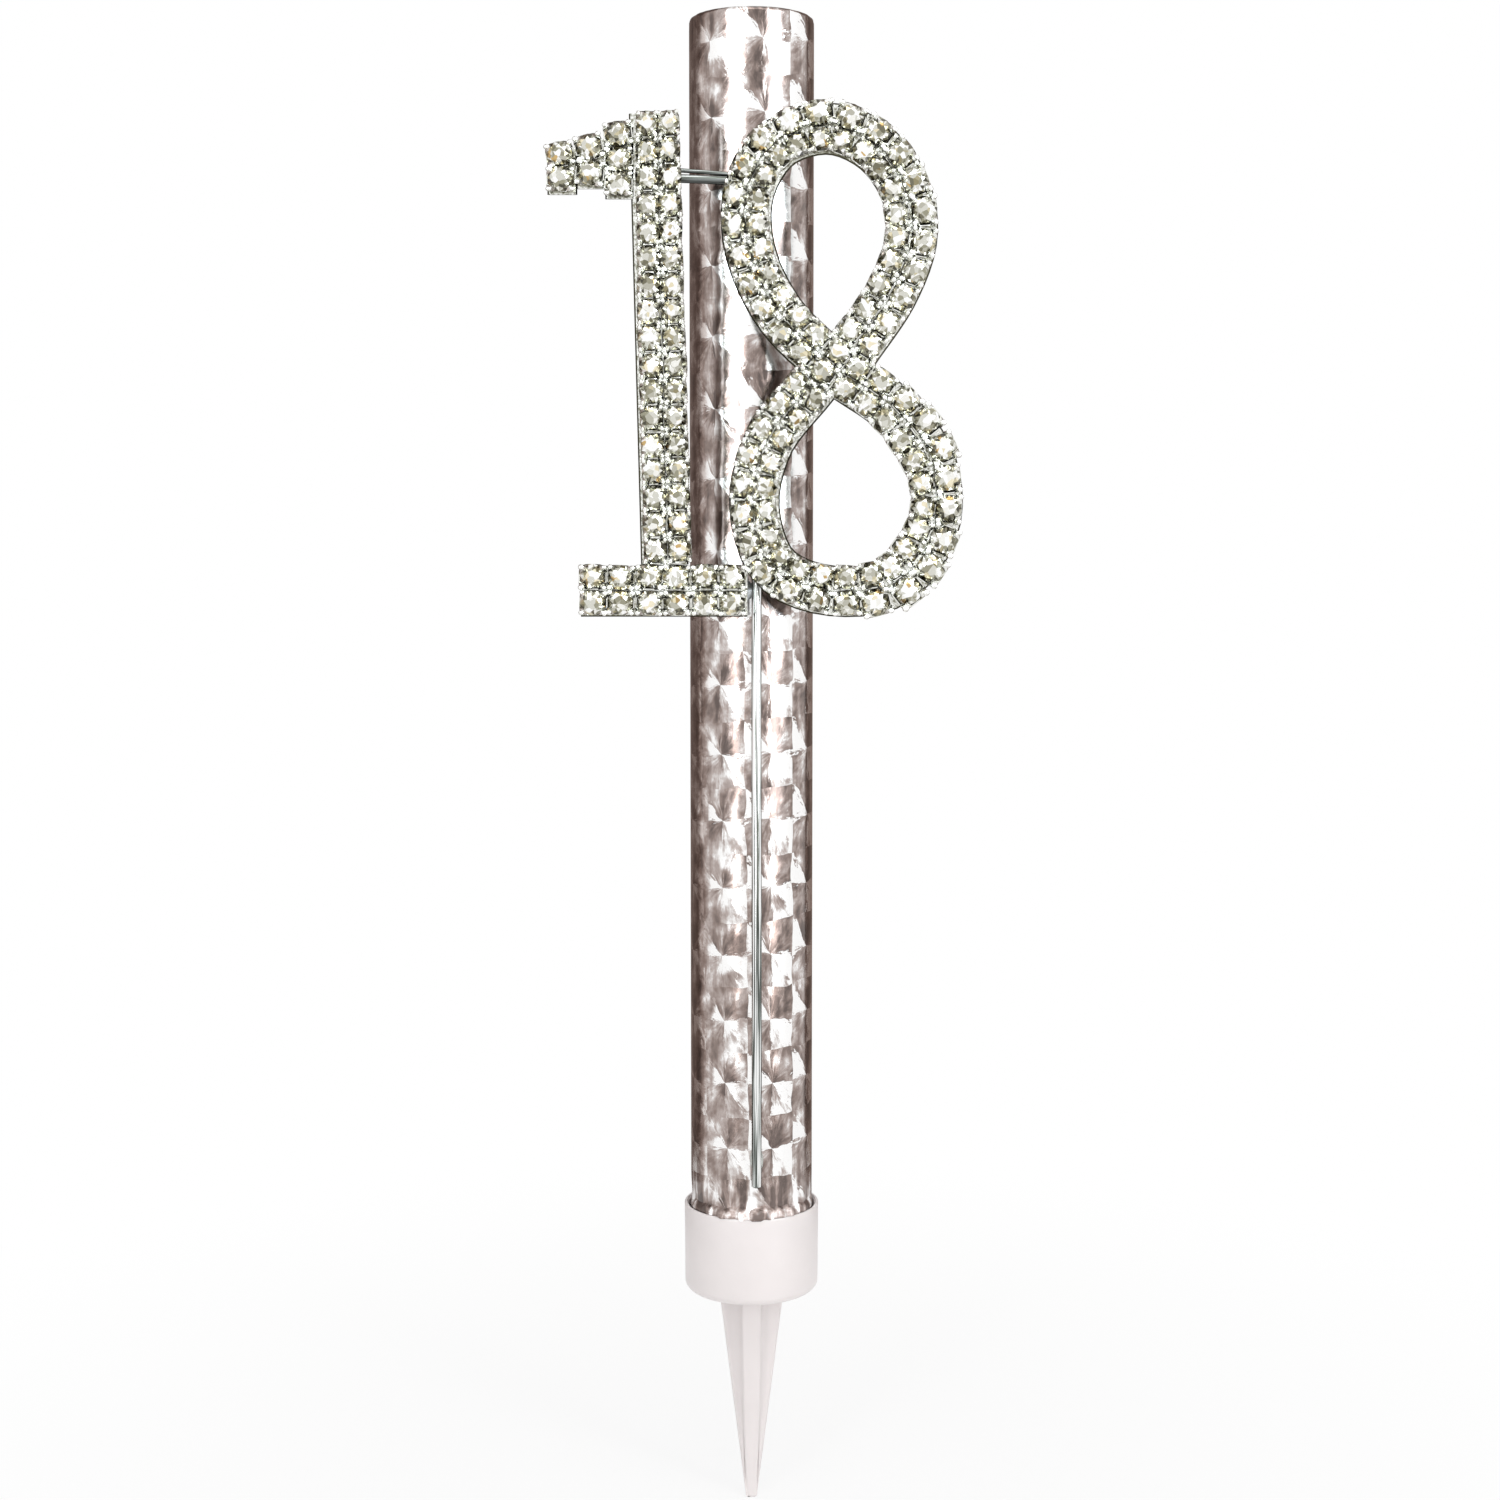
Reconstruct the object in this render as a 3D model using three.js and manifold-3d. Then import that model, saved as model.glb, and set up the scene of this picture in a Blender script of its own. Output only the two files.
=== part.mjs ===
// Cake fountain: a foil-wrapped card tube in a white spiked holder, with a rhinestone number on a wire.
// Millimetres, +Z up, the number faces -Y. The origin is on the tube's axis, in the underside of the cup.
import * as THREE from "three";
import { mergeVertices } from "three/addons/utils/BufferGeometryUtils.js";
import Module from "manifold-3d";

const wasm = await Module();
wasm.setup();

// Holder
const CUP_HEIGHT = 10.7;
const CUP_WALL = 0.5;
const CUP_FLOOR = 1.0;
const CUP_CORNER = 1.0;
const RIM_ROUND = 0.2;
const CUP_CLEARANCE = 0.3;
const SPIKE_LENGTH = 26.8;
const SPIKE_ROOT_WIDTH = 8.0;
const SPIKE_TIP_WIDTH = 1.3;
const SPIKE_RIB = 1.8;

// Tube and foil
const TUBE_BORE = 10.2;
const TUBE_WALL = 2.0;
const TUBE_LENGTH = 151.4;
const TUBE_EDGE = 0.5;
const FOIL_THICKNESS = 0.2;
const GLUE_LINE = 0.1;
const SEAT_GAP = 0.1;
const FOIL_FOLD_IN = 3.6;
const FOIL_LIP = 2.4;

// Filling and fuse
const FILL_CLEARANCE = 0.1;
const LAYER_GAP = 0.05;
const PLUG_LENGTH = 9.0;
const WAD_THICKNESS = 1.2;
const PRIME_THICKNESS = 1.4;
const WASHER_THICKNESS = 1.6;
const SEAL_THICKNESS = 0.4;
const RECESS_DEPTH = 3.4;
const FUSE_DIAMETER = 1.7;
const FUSE_FREE_LENGTH = 6.4;
const FUSE_OFFSET = 3.0;
const FUSE_CLEARANCE = 0.1;

// Wires and their joints
const STEM_DIAMETER = 1.2;
const STEM_X = 0.6;
const STEM_END = 14.8;
const STEM_REACH = 13.2;
const BRIDGE_DIAMETER = 1.0;
const BRIDGE_DROP = 7.2;
const BRIDGE_SINK = 2.8;
const GLUE_GAP = 0.5;
const WIRE_GAP = 0.1;
const SOLDER_WIDTH = 3.0;
const SOLDER_LENGTH = 3.6;
const SOLDER_HEIGHT = 1.2;
const GLUE_DOT_WIDTH = 2.8;
const GLUE_DOT_LENGTH = 3.6;
const GLUE_DOT_HEIGHT = 0.9;
const UPPER_GLUE_DROP = 5.6;
const LOWER_GLUE_RISE = 3.2;

// Number: back plates, strips, cups and stones
const PLATE_THICKNESS = 0.8;
const PLATE_MARGIN = 0.35;
const SOLDER_LINE = 0.05;
const STRIP_THICKNESS = 0.3;
const STRIP_EDGE = 0.1;
const ROW_PITCH = 2.9;
const CUP_SIDE = 2.8;
const CUP_FOOT = 2.3;
const SETTING_HEIGHT = 1.3;
const STONE_DIAMETER = 2.75;
const TABLE_DIAMETER = 1.5;
const CROWN_HEIGHT = 0.6;
const STONE_SINK = 0.05;
const RUN_GAP = 0.1;

// The 1: its foot ends beside the 8, and the flag's columns hang below the upright's top
const FOOT_BOTTOM = 82.85;
const FOOT_COLUMNS = 6;
const FOOT_PITCH = 3.1;
const NUMERAL_GAP = 0.2;
const UPRIGHT_SETBACK = 8.85;
const UPRIGHT_ROWS = 17;
const UPRIGHT_PITCH = 3.06;
const UPRIGHT_LEAN = THREE.MathUtils.degToRad(1.35);
const FLAG_PITCH = 3.4;
const FLAG_ROW_PITCH = 3.0;
const FLAG_COLUMNS = [
  { stones: 3, drop: 5.3 },
  { stones: 2, drop: 5.8 },
  { stones: 2, drop: 6.6 },
];

// The 8: its one strip's centre line, from the crossing up, round the top, through and round the bottom
const EIGHT_PITCH = 3.13;
const EIGHT_LINE = [
  [11.75, 113.4], [16.3, 120.2], [18.4, 126.5], [17.9, 132.0], [14.6, 136.9], [8.9, 138.7], [3.1, 136.9],
  [-0.2, 131.7], [-0.2, 125.0], [3.2, 117.7], [10.0, 111.2], [16.2, 106.8], [20.8, 100.4], [21.1, 93.2],
  [16.4, 86.8], [8.2, 86.0], [2.6, 88.7], [0.35, 95.4], [1.9, 102.8], [7.3, 109.8],
];

// Facets
const ROUND_SIDES = 40;
const WIRE_SIDES = 12;
const STONE_SIDES = 8;
const CORNER_STEPS = 2;
const LINE_SAMPLES = 84;
const SHARD = 0.01;

// Radii and heights that follow from the sizes above
const boreRadius = TUBE_BORE / 2;
const tubeRadius = boreRadius + TUBE_WALL;
const foilRadius = tubeRadius + GLUE_LINE + FOIL_THICKNESS;
const cupBoreRadius = foilRadius + CUP_CLEARANCE;
const cupRadius = cupBoreRadius + CUP_WALL;
const tubeBottom = CUP_FLOOR + SEAT_GAP + FOIL_THICKNESS + GLUE_LINE;
const tubeTop = tubeBottom + TUBE_LENGTH;
const sealTop = tubeTop - RECESS_DEPTH;
const washerTop = sealTop - SEAL_THICKNESS - LAYER_GAP;
const primeTop = washerTop - WASHER_THICKNESS - LAYER_GAP;
const chargeTop = primeTop - PRIME_THICKNESS - LAYER_GAP;
const wadBottom = tubeBottom + PLUG_LENGTH + LAYER_GAP;
const chargeBottom = wadBottom + WAD_THICKNESS + LAYER_GAP;
const fuseRadius = FUSE_DIAMETER / 2;
const fusePivotZ = sealTop + 2 * FUSE_CLEARANCE + fuseRadius;

// Depths of the number's layers, front of each at the more negative y
const stemY = -(foilRadius + GLUE_GAP + STEM_DIAMETER / 2);
const plateBack = stemY - STEM_DIAMETER / 2 - WIRE_GAP;
const stripBack = plateBack - PLATE_THICKNESS - SOLDER_LINE;
const cupBack = stripBack - STRIP_THICKNESS;
const cupFront = cupBack - SETTING_HEIGHT;

// Colours, roughness and metalness
const finishes = {
  plastic: { color: 0xebe3e2, roughness: 0.4, metalness: 0 },
  foil: { color: 0xc9b8b4, roughness: 0.25, metalness: 1 },
  card: { color: 0xb9a58a, roughness: 0.9, metalness: 0 },
  clay: { color: 0xc8c0b2, roughness: 0.95, metalness: 0 },
  charge: { color: 0x6f6c68, roughness: 0.95, metalness: 0 },
  prime: { color: 0x3c3a39, roughness: 0.9, metalness: 0 },
  tissue: { color: 0xe9e2d6, roughness: 0.85, metalness: 0 },
  fuse: { color: 0x5d7a52, roughness: 0.9, metalness: 0 },
  wire: { color: 0xc4c8cc, roughness: 0.2, metalness: 1 },
  plate: { color: 0xaeb0b0, roughness: 0.35, metalness: 1 },
  stones: { color: 0xe4e2da, roughness: 0.1, metalness: 0.4 },
  solder: { color: 0x9da0a2, roughness: 0.4, metalness: 1 },
  glue: { color: 0xf1f0ea, roughness: 0.2, metalness: 0 },
};

const fountain = new THREE.Group();

function piece(name, geometry, finish) {
  const mesh = new THREE.Mesh(geometry, new THREE.MeshStandardMaterial(finishes[finish]));
  mesh.name = name;
  return mesh;
}

function toSolid(geometry) {
  const bare = geometry.clone();
  bare.deleteAttribute("normal");
  bare.deleteAttribute("uv");
  const merged = mergeVertices(bare, 1e-5);
  return new wasm.Manifold(new wasm.Mesh({
    numProp: 3,
    vertProperties: new Float32Array(merged.attributes.position.array),
    triVerts: new Uint32Array(merged.index.array),
  }));
}

// Edges shorter than a shard, which a cut can leave, are closed up
function fromSolid(solid) {
  const mesh = solid.simplify(SHARD).getMesh();
  const geometry = new THREE.BufferGeometry();
  geometry.setAttribute("position", new THREE.BufferAttribute(mesh.vertProperties, 3));
  geometry.setIndex(new THREE.BufferAttribute(mesh.triVerts, 1));
  geometry.computeVertexNormals();
  return geometry;
}

function join(geometries) {
  return wasm.Manifold.union(geometries.map(toSolid));
}

// Points of an arc, from one angle to another in quarter turns, about a centre in the profile's plane
function arc(centreR, centreZ, radius, fromQuarter, toQuarter) {
  const points = [];
  for (let i = 0; i <= CORNER_STEPS; i += 1) {
    const turn = fromQuarter + ((toQuarter - fromQuarter) * i) / CORNER_STEPS;
    const angle = (turn * Math.PI) / 2;
    points.push(new THREE.Vector2(centreR + radius * Math.cos(angle), centreZ + radius * Math.sin(angle)));
  }
  return points;
}

// A solid of revolution about +Z
function turned(profile, sides = ROUND_SIDES) {
  return new THREE.LatheGeometry(profile, sides).rotateX(Math.PI / 2);
}

function disc(radius, bottom, thickness, sides = ROUND_SIDES) {
  const geometry = new THREE.CylinderGeometry(radius, radius, thickness, sides);
  return geometry.rotateX(Math.PI / 2).translate(0, 0, bottom + thickness / 2);
}

// A flat shape drawn in X and Z, given thickness from the plane y = back towards the front
function slab(shape, back, thickness) {
  const geometry = new THREE.ExtrudeGeometry(shape, { depth: thickness, bevelEnabled: false });
  return geometry.rotateX(Math.PI / 2).translate(0, back, 0);
}

// Holder

function spikeBlade() {
  const root = SPIKE_ROOT_WIDTH / 2;
  const tip = SPIKE_TIP_WIDTH / 2;
  const outline = new THREE.Shape([
    new THREE.Vector2(-root, CUP_FLOOR / 2),
    new THREE.Vector2(-root, 0),
    new THREE.Vector2(-tip, -SPIKE_LENGTH),
    new THREE.Vector2(tip, -SPIKE_LENGTH),
    new THREE.Vector2(root, 0),
    new THREE.Vector2(root, CUP_FLOOR / 2),
  ]);
  return slab(outline, SPIKE_RIB / 2, SPIKE_RIB);
}

function cupShell() {
  const corner = arc(cupRadius - CUP_CORNER, CUP_CORNER, CUP_CORNER, -1, 0);
  const outerRim = arc(cupRadius - RIM_ROUND, CUP_HEIGHT - RIM_ROUND, RIM_ROUND, 0, 1);
  return turned([
    new THREE.Vector2(0, 0),
    ...corner,
    ...outerRim,
    new THREE.Vector2(cupBoreRadius, CUP_HEIGHT),
    new THREE.Vector2(cupBoreRadius, CUP_FLOOR),
    new THREE.Vector2(0, CUP_FLOOR),
  ]);
}

function spikeHolder() {
  // The blade is tapered to a flat tip, so the cross takes the same outline twice
  const crossBlade = spikeBlade().rotateZ(Math.PI / 2);
  return piece("spike_holder", fromSolid(join([cupShell(), spikeBlade(), crossBlade])), "plastic");
}

// Tube, foil and filling

function paperTube() {
  const profile = [
    new THREE.Vector2(boreRadius, tubeBottom),
    ...arc(tubeRadius - TUBE_EDGE, tubeBottom + TUBE_EDGE, TUBE_EDGE, -1, 0),
    ...arc(tubeRadius - TUBE_EDGE, tubeTop - TUBE_EDGE, TUBE_EDGE, 0, 1),
    ...arc(boreRadius + TUBE_EDGE, tubeTop - TUBE_EDGE, TUBE_EDGE, 1, 2),
    new THREE.Vector2(boreRadius, tubeBottom),
  ];
  return piece("paper_tube", turned(profile), "card");
}

// The foil's section runs from the fold under the tube, up the outside and over the rim into the bore
function foilSide(offset) {
  const round = TUBE_EDGE + offset;
  const lipRadius = boreRadius - offset;
  const foldEdge = tubeRadius - FOIL_FOLD_IN;
  return [
    new THREE.Vector2(foldEdge, tubeBottom - offset),
    ...arc(tubeRadius - TUBE_EDGE, tubeBottom + TUBE_EDGE, round, -1, 0),
    ...arc(tubeRadius - TUBE_EDGE, tubeTop - TUBE_EDGE, round, 0, 1),
    ...arc(boreRadius + TUBE_EDGE, tubeTop - TUBE_EDGE, round, 1, 2),
    new THREE.Vector2(lipRadius, tubeTop - FOIL_LIP),
  ];
}

function foilWrap() {
  const outside = foilSide(GLUE_LINE + FOIL_THICKNESS);
  const inside = foilSide(GLUE_LINE).reverse();
  const profile = [...outside, ...inside, outside[0].clone()];
  return piece("foil_wrap", turned(profile), "foil");
}

function fillingDisc(name, bottom, top, finish) {
  return piece(name, disc(boreRadius - FILL_CLEARANCE, bottom, top - bottom), finish);
}

// A disc with the fuse's hole through it
function fuseDisc(name, bottom, thickness, finish) {
  const hole = disc(fuseRadius + FUSE_CLEARANCE, bottom - thickness, 3 * thickness, WIRE_SIDES);
  hole.translate(-FUSE_OFFSET, 0, 0);
  const body = toSolid(disc(boreRadius - FILL_CLEARANCE, bottom, thickness));
  return piece(name, fromSolid(body.subtract(toSolid(hole))), finish);
}

function filling() {
  const group = new THREE.Group();
  group.add(fillingDisc("base_plug", tubeBottom, tubeBottom + PLUG_LENGTH, "clay"));
  group.add(fillingDisc("lower_wad", wadBottom, wadBottom + WAD_THICKNESS, "card"));
  group.add(fillingDisc("charge", chargeBottom, chargeTop, "charge"));
  group.add(fillingDisc("prime_disc", primeTop - PRIME_THICKNESS, primeTop, "prime"));
  group.add(fuseDisc("top_washer", washerTop - WASHER_THICKNESS, WASHER_THICKNESS, "card"));
  group.add(fuseDisc("top_seal", sealTop - SEAL_THICKNESS, SEAL_THICKNESS, "tissue"));
  return group;
}

function fuse() {
  const group = new THREE.Group();
  const rootBottom = primeTop + LAYER_GAP;
  const rootTop = fusePivotZ - fuseRadius - FUSE_CLEARANCE;
  const root = disc(fuseRadius, rootBottom, rootTop - rootBottom, WIRE_SIDES);
  group.add(piece("fuse_root", root.translate(-FUSE_OFFSET, 0, 0), "fuse"));
  // The free length is a round-ended rod whose near end turns about the top of the root
  const profile = [
    new THREE.Vector2(0, -fuseRadius),
    ...arc(0, 0, fuseRadius, -1, 0).slice(1),
    new THREE.Vector2(fuseRadius, FUSE_FREE_LENGTH),
    new THREE.Vector2(0, FUSE_FREE_LENGTH),
  ];
  const tip = piece("fuse_tip", turned(profile, WIRE_SIDES), "fuse");
  tip.rotation.y = Math.PI / 2;
  tip.position.set(-FUSE_OFFSET, 0, fusePivotZ);
  group.add(tip);
  return group;
}

// Number: centre lines, seats and runs

const eightCurve = new THREE.CatmullRomCurve3(
  EIGHT_LINE.map(([x, z]) => new THREE.Vector3(x, 0, z)),
  false,
  "centripetal",
);
const stripHalf = ROW_PITCH / 2 + CUP_SIDE / 2 + STRIP_EDGE;

// A seat is one stone's place: its centre in X and Z, and the turn of its run
function seat(x, z, turn) {
  return { x, z, turn };
}

// Both rows' seats at a point of a run, given the run's direction there
function pairOfSeats(point, direction, rows = 2, rowPitch = ROW_PITCH) {
  const turn = Math.atan2(direction.y, direction.x);
  const across = new THREE.Vector2(-direction.y, direction.x);
  const seats = [];
  for (let row = 0; row < rows; row += 1) {
    const side = (row - (rows - 1) / 2) * rowPitch;
    seats.push(seat(point.x + side * across.x, point.y + side * across.y, turn));
  }
  return seats;
}

function cupAndStone({ x, z, turn }) {
  const halfDiagonal = Math.SQRT1_2;
  const cup = new THREE.CylinderGeometry(CUP_SIDE * halfDiagonal, CUP_FOOT * halfDiagonal,
    SETTING_HEIGHT + STONE_SINK, 4);
  cup.rotateY(Math.PI / 4).rotateX(Math.PI);
  cup.translate(0, cupBack + STONE_SINK - (SETTING_HEIGHT + STONE_SINK) / 2, 0);
  const crown = new THREE.CylinderGeometry(TABLE_DIAMETER / 2, STONE_DIAMETER / 2,
    CROWN_HEIGHT + STONE_SINK, STONE_SIDES);
  crown.rotateY(Math.PI / STONE_SIDES).rotateX(Math.PI);
  crown.translate(0, cupFront + STONE_SINK - (CROWN_HEIGHT + STONE_SINK) / 2, 0);
  return [cup, crown].map((geometry) => geometry.rotateY(-turn).translate(x, 0, z));
}

// A station is a point of a centre line with the line's direction there
function station(point, direction) {
  return { point, direction };
}

// The outline of a band of constant width along a list of stations
function bandShape(stations, half) {
  const side = (sign) => ({ point, direction }) => {
    const across = new THREE.Vector2(-direction.y, direction.x);
    return point.clone().addScaledVector(across, sign * half);
  };
  return new THREE.Shape([...stations.map(side(1)), ...stations.map(side(-1)).reverse()]);
}

function straightLine(start, turn, length) {
  const direction = new THREE.Vector2(Math.cos(turn), Math.sin(turn));
  const end = start.clone().addScaledVector(direction, length);
  return [station(start, direction), station(end, direction)];
}

// Seats evenly spaced along a straight run, starting half a pitch from its end
function straightSeats([start, end], pitch) {
  const count = Math.round(start.point.distanceTo(end.point) / pitch);
  const seats = [];
  for (let i = 0; i < count; i += 1) {
    const point = start.point.clone().addScaledVector(start.direction, (i + 0.5) * pitch);
    seats.push(...pairOfSeats(point, start.direction));
  }
  return seats;
}

function stripOf(name, bands, seats) {
  const settings = seats.flatMap(cupAndStone);
  return piece(name, fromSolid(join([...bands, ...settings])), "stones");
}

function eightStation(share) {
  const point = eightCurve.getPointAt(share);
  const tangent = eightCurve.getTangentAt(share);
  return station(new THREE.Vector2(point.x, point.z), new THREE.Vector2(tangent.x, tangent.z).normalize());
}

function eightStations(from, to) {
  const samples = Math.round(LINE_SAMPLES * (to - from));
  const stations = [];
  for (let i = 0; i <= samples; i += 1) {
    stations.push(eightStation(from + ((to - from) * i) / samples));
  }
  return stations;
}

// The leftmost x that an outline reaches no higher than a level
function leftmostBelow(points, level) {
  let left = Infinity;
  points.forEach((point, i) => {
    const next = points[(i + 1) % points.length];
    if (point.y <= level) {
      left = Math.min(left, point.x);
    }
    if ((point.y - level) * (next.y - level) < 0) {
      const share = (level - point.y) / (next.y - point.y);
      left = Math.min(left, THREE.MathUtils.lerp(point.x, next.x, share));
    }
  });
  return left;
}

// The foot ends just short of the 8's outline
const footMiddle = FOOT_BOTTOM + stripHalf;
const footTop = FOOT_BOTTOM + 2 * stripHalf;
const lowerOutline = bandShape(eightStations(0.5, 1), stripHalf).getPoints();
const footRight = leftmostBelow(lowerOutline, footTop + NUMERAL_GAP) - NUMERAL_GAP;
const footLength = FOOT_COLUMNS * FOOT_PITCH;
const footLine = straightLine(new THREE.Vector2(footRight - footLength, footMiddle), 0, footLength);

const uprightBase = footTop + RUN_GAP;
const uprightX = footRight - UPRIGHT_SETBACK;
const uprightLength = UPRIGHT_ROWS * UPRIGHT_PITCH;
const uprightTurn = Math.PI / 2 + UPRIGHT_LEAN;
const uprightLine = straightLine(new THREE.Vector2(uprightX, uprightBase), uprightTurn, uprightLength);
const uprightTop = uprightLine[1].point.y;

// The upright's centre line at a height
function uprightCentre(height) {
  return uprightX - (height - uprightBase) * Math.tan(UPRIGHT_LEAN);
}

// Flag columns stand side by side, away from the upright's left edge
const flagHalf = CUP_SIDE / 2 + STRIP_EDGE;

function flagColumns() {
  return FLAG_COLUMNS.map(({ stones, drop }, column) => {
    const z = uprightTop - drop;
    const edge = uprightCentre(z) - stripHalf - RUN_GAP;
    return { x: edge - flagHalf - column * FLAG_PITCH, z, stones };
  });
}

function flagBands(back, thickness, margin) {
  return flagColumns().map(({ x, z, stones }, column, all) => {
    // Each column's plate reaches under its neighbour, so that the flag is one piece
    const inner = column === 0 ? flagHalf - margin : FLAG_PITCH / 2 + margin;
    const outer = column === all.length - 1 ? flagHalf - margin : FLAG_PITCH / 2;
    const half = (stones * FLAG_ROW_PITCH) / 2 - margin;
    const shape = new THREE.Shape([
      new THREE.Vector2(x - outer, z - half),
      new THREE.Vector2(x + inner, z - half),
      new THREE.Vector2(x + inner, z + half),
      new THREE.Vector2(x - outer, z + half),
    ]);
    return slab(shape, back, thickness);
  });
}

function flagStrip() {
  const upward = new THREE.Vector2(1, 0);
  const seats = flagColumns().flatMap(({ x, z, stones }) => (
    pairOfSeats(new THREE.Vector2(x, z), upward, stones, FLAG_ROW_PITCH)));
  return stripOf("one_flag_strip", flagBands(stripBack, STRIP_THICKNESS, 0), seats);
}

function straightStrip(name, line, pitch) {
  const band = slab(bandShape(line, stripHalf), stripBack, STRIP_THICKNESS);
  return stripOf(name, [band], straightSeats(line, pitch));
}

// The strip crosses itself, so it is drawn as two halves that meet at the middle of its length
function eightBands(half, back, thickness, endReach) {
  const upper = eightStations(0, 0.5);
  const lower = eightStations(0.5, 1);
  upper[0].point.addScaledVector(upper[0].direction, -endReach);
  lower.at(-1).point.addScaledVector(lower.at(-1).direction, endReach);
  return [upper, lower].map((stations) => slab(bandShape(stations, half), back, thickness));
}

function eightStrip() {
  const length = eightCurve.getLength();
  const count = Math.round(length / EIGHT_PITCH);
  const seats = [];
  for (let i = 0; i < count; i += 1) {
    const { point, direction } = eightStation((i + 0.5) / count);
    seats.push(...pairOfSeats(point, direction));
  }
  return stripOf("eight_strip", eightBands(stripHalf, stripBack, STRIP_THICKNESS, 0), seats);
}

// Back plates, a margin narrower than the strips on them

const plateHalf = stripHalf - PLATE_MARGIN;

function oneBackPlate() {
  const uprightRoot = straightLine(new THREE.Vector2(uprightX, footMiddle), uprightTurn,
    uprightLength + uprightBase - footMiddle);
  const [flag] = flagColumns();
  const flagRoot = straightLine(new THREE.Vector2(flag.x, flag.z), 0, FLAG_PITCH);
  const bands = [footLine, uprightRoot, flagRoot].map((line) => bandShape(line, plateHalf));
  const slabs = bands.map((band) => slab(band, plateBack, PLATE_THICKNESS));
  slabs.push(...flagBands(plateBack, PLATE_THICKNESS, PLATE_MARGIN));
  return piece("one_back_plate", fromSolid(join(slabs)), "plate");
}

function eightBackPlate() {
  const reach = stripHalf;
  return piece("eight_back_plate", fromSolid(join(eightBands(plateHalf, plateBack, PLATE_THICKNESS, reach))),
    "plate");
}

// Wires

const stemTop = FOOT_BOTTOM + STEM_REACH;

// A round rod along +Z
function rod(diameter, x, y, bottom, top) {
  return disc(diameter / 2, bottom, top - bottom, WIRE_SIDES).translate(x, y, 0);
}

function stemWire() {
  return piece("stem_wire", rod(STEM_DIAMETER, STEM_X, stemY, STEM_END, stemTop), "wire");
}

// The bridge runs level behind both plates, from the upright to the left strand of the 8's upper loop
const bridgeHeight = uprightTop - BRIDGE_DROP;
const bridgeY = plateBack + WIRE_GAP + BRIDGE_DIAMETER / 2;
const bridgeLeft = uprightCentre(bridgeHeight) + stripHalf - BRIDGE_SINK;
const bridgeRight = strandAt(bridgeHeight) - stripHalf + BRIDGE_SINK;

function strandAt(height) {
  const strand = eightStations(0.25, 0.5).map(({ point }) => point);
  const offset = (point) => Math.abs(point.y - height);
  return strand.reduce((best, point) => (offset(point) < offset(best) ? point : best)).x;
}

function bridgeRod(diameter) {
  const length = bridgeRight - bridgeLeft;
  const wire = disc(diameter / 2, -length / 2, length, WIRE_SIDES).rotateY(Math.PI / 2);
  return wire.translate((bridgeLeft + bridgeRight) / 2, bridgeY, bridgeHeight);
}

function bridgeWire() {
  return piece("bridge_wire", bridgeRod(BRIDGE_DIAMETER), "wire");
}

// Solder and glue: low domes, cut to clear the wire and what they lie on by a thin line

function dome(x, y, z, width, height, length) {
  const geometry = new THREE.SphereGeometry(1, WIRE_SIDES, WIRE_SIDES / 2);
  return toSolid(geometry.scale(width / 2, height, length / 2).translate(x, y, z));
}

// Solder swells backwards from a plate's back face
function solder(name, x, z, width, length, channel) {
  const face = plateBack + SOLDER_LINE;
  const swell = dome(x, face, z, width, SOLDER_HEIGHT, length);
  const infront = new THREE.BoxGeometry(2 * width, 2 * SOLDER_HEIGHT, 2 * length);
  infront.translate(x, face - SOLDER_HEIGHT, z);
  const solid = swell.subtract(toSolid(infront)).subtract(toSolid(channel));
  return piece(name, fromSolid(solid), "solder");
}

function solderJoints() {
  const group = new THREE.Group();
  const stemChannel = rod(STEM_DIAMETER + 2 * WIRE_GAP, STEM_X, stemY, STEM_END, stemTop + WIRE_GAP);
  const bridgeChannel = bridgeRod(BRIDGE_DIAMETER + 2 * WIRE_GAP);
  // On the foot's end the solder reaches no further than the wire's middle
  const footX = STEM_X - WIRE_GAP - SOLDER_LENGTH / 2;
  group.add(solder("solder_stem_eight", STEM_X, stemTop, SOLDER_WIDTH, SOLDER_LENGTH, stemChannel));
  group.add(solder("solder_stem_foot", footX, footMiddle, SOLDER_LENGTH, SOLDER_WIDTH, stemChannel));
  const ends = [["solder_bridge_one", bridgeLeft], ["solder_bridge_eight", bridgeRight]];
  ends.forEach(([name, x]) => {
    group.add(solder(name, x, bridgeHeight, SOLDER_LENGTH, SOLDER_WIDTH, bridgeChannel));
  });
  return group;
}

// Glue fills the space between the wire's back and the foil
function glueDot(name, z) {
  const y = stemY + STEM_DIAMETER / 2 - GLUE_GAP / 2;
  const drop = dome(STEM_X, y, z, GLUE_DOT_WIDTH, GLUE_DOT_HEIGHT, GLUE_DOT_LENGTH);
  const wire = rod(STEM_DIAMETER + 2 * WIRE_GAP, STEM_X, stemY, STEM_END - WIRE_GAP, stemTop);
  const tube = disc(foilRadius + WIRE_GAP, z - GLUE_DOT_LENGTH, 2 * GLUE_DOT_LENGTH);
  return piece(name, fromSolid(drop.subtract(toSolid(wire)).subtract(toSolid(tube))), "glue");
}

function assemble() {
  fountain.add(spikeHolder());
  fountain.add(paperTube());
  fountain.add(foilWrap());
  fountain.add(filling());
  fountain.add(fuse());
  fountain.add(stemWire());
  fountain.add(bridgeWire());
  fountain.add(oneBackPlate());
  fountain.add(eightBackPlate());
  fountain.add(flagStrip());
  fountain.add(straightStrip("one_upright_strip", uprightLine, UPRIGHT_PITCH));
  fountain.add(straightStrip("one_foot_strip", footLine, FOOT_PITCH));
  fountain.add(eightStrip());
  fountain.add(solderJoints());
  fountain.add(glueDot("glue_dot_upper", stemTop - UPPER_GLUE_DROP));
  fountain.add(glueDot("glue_dot_lower", STEM_END + LOWER_GLUE_RISE));
}

assemble();

export default fountain;
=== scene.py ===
import math
import random

import bmesh
import bpy
from mathutils import Matrix, Vector, noise


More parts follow.
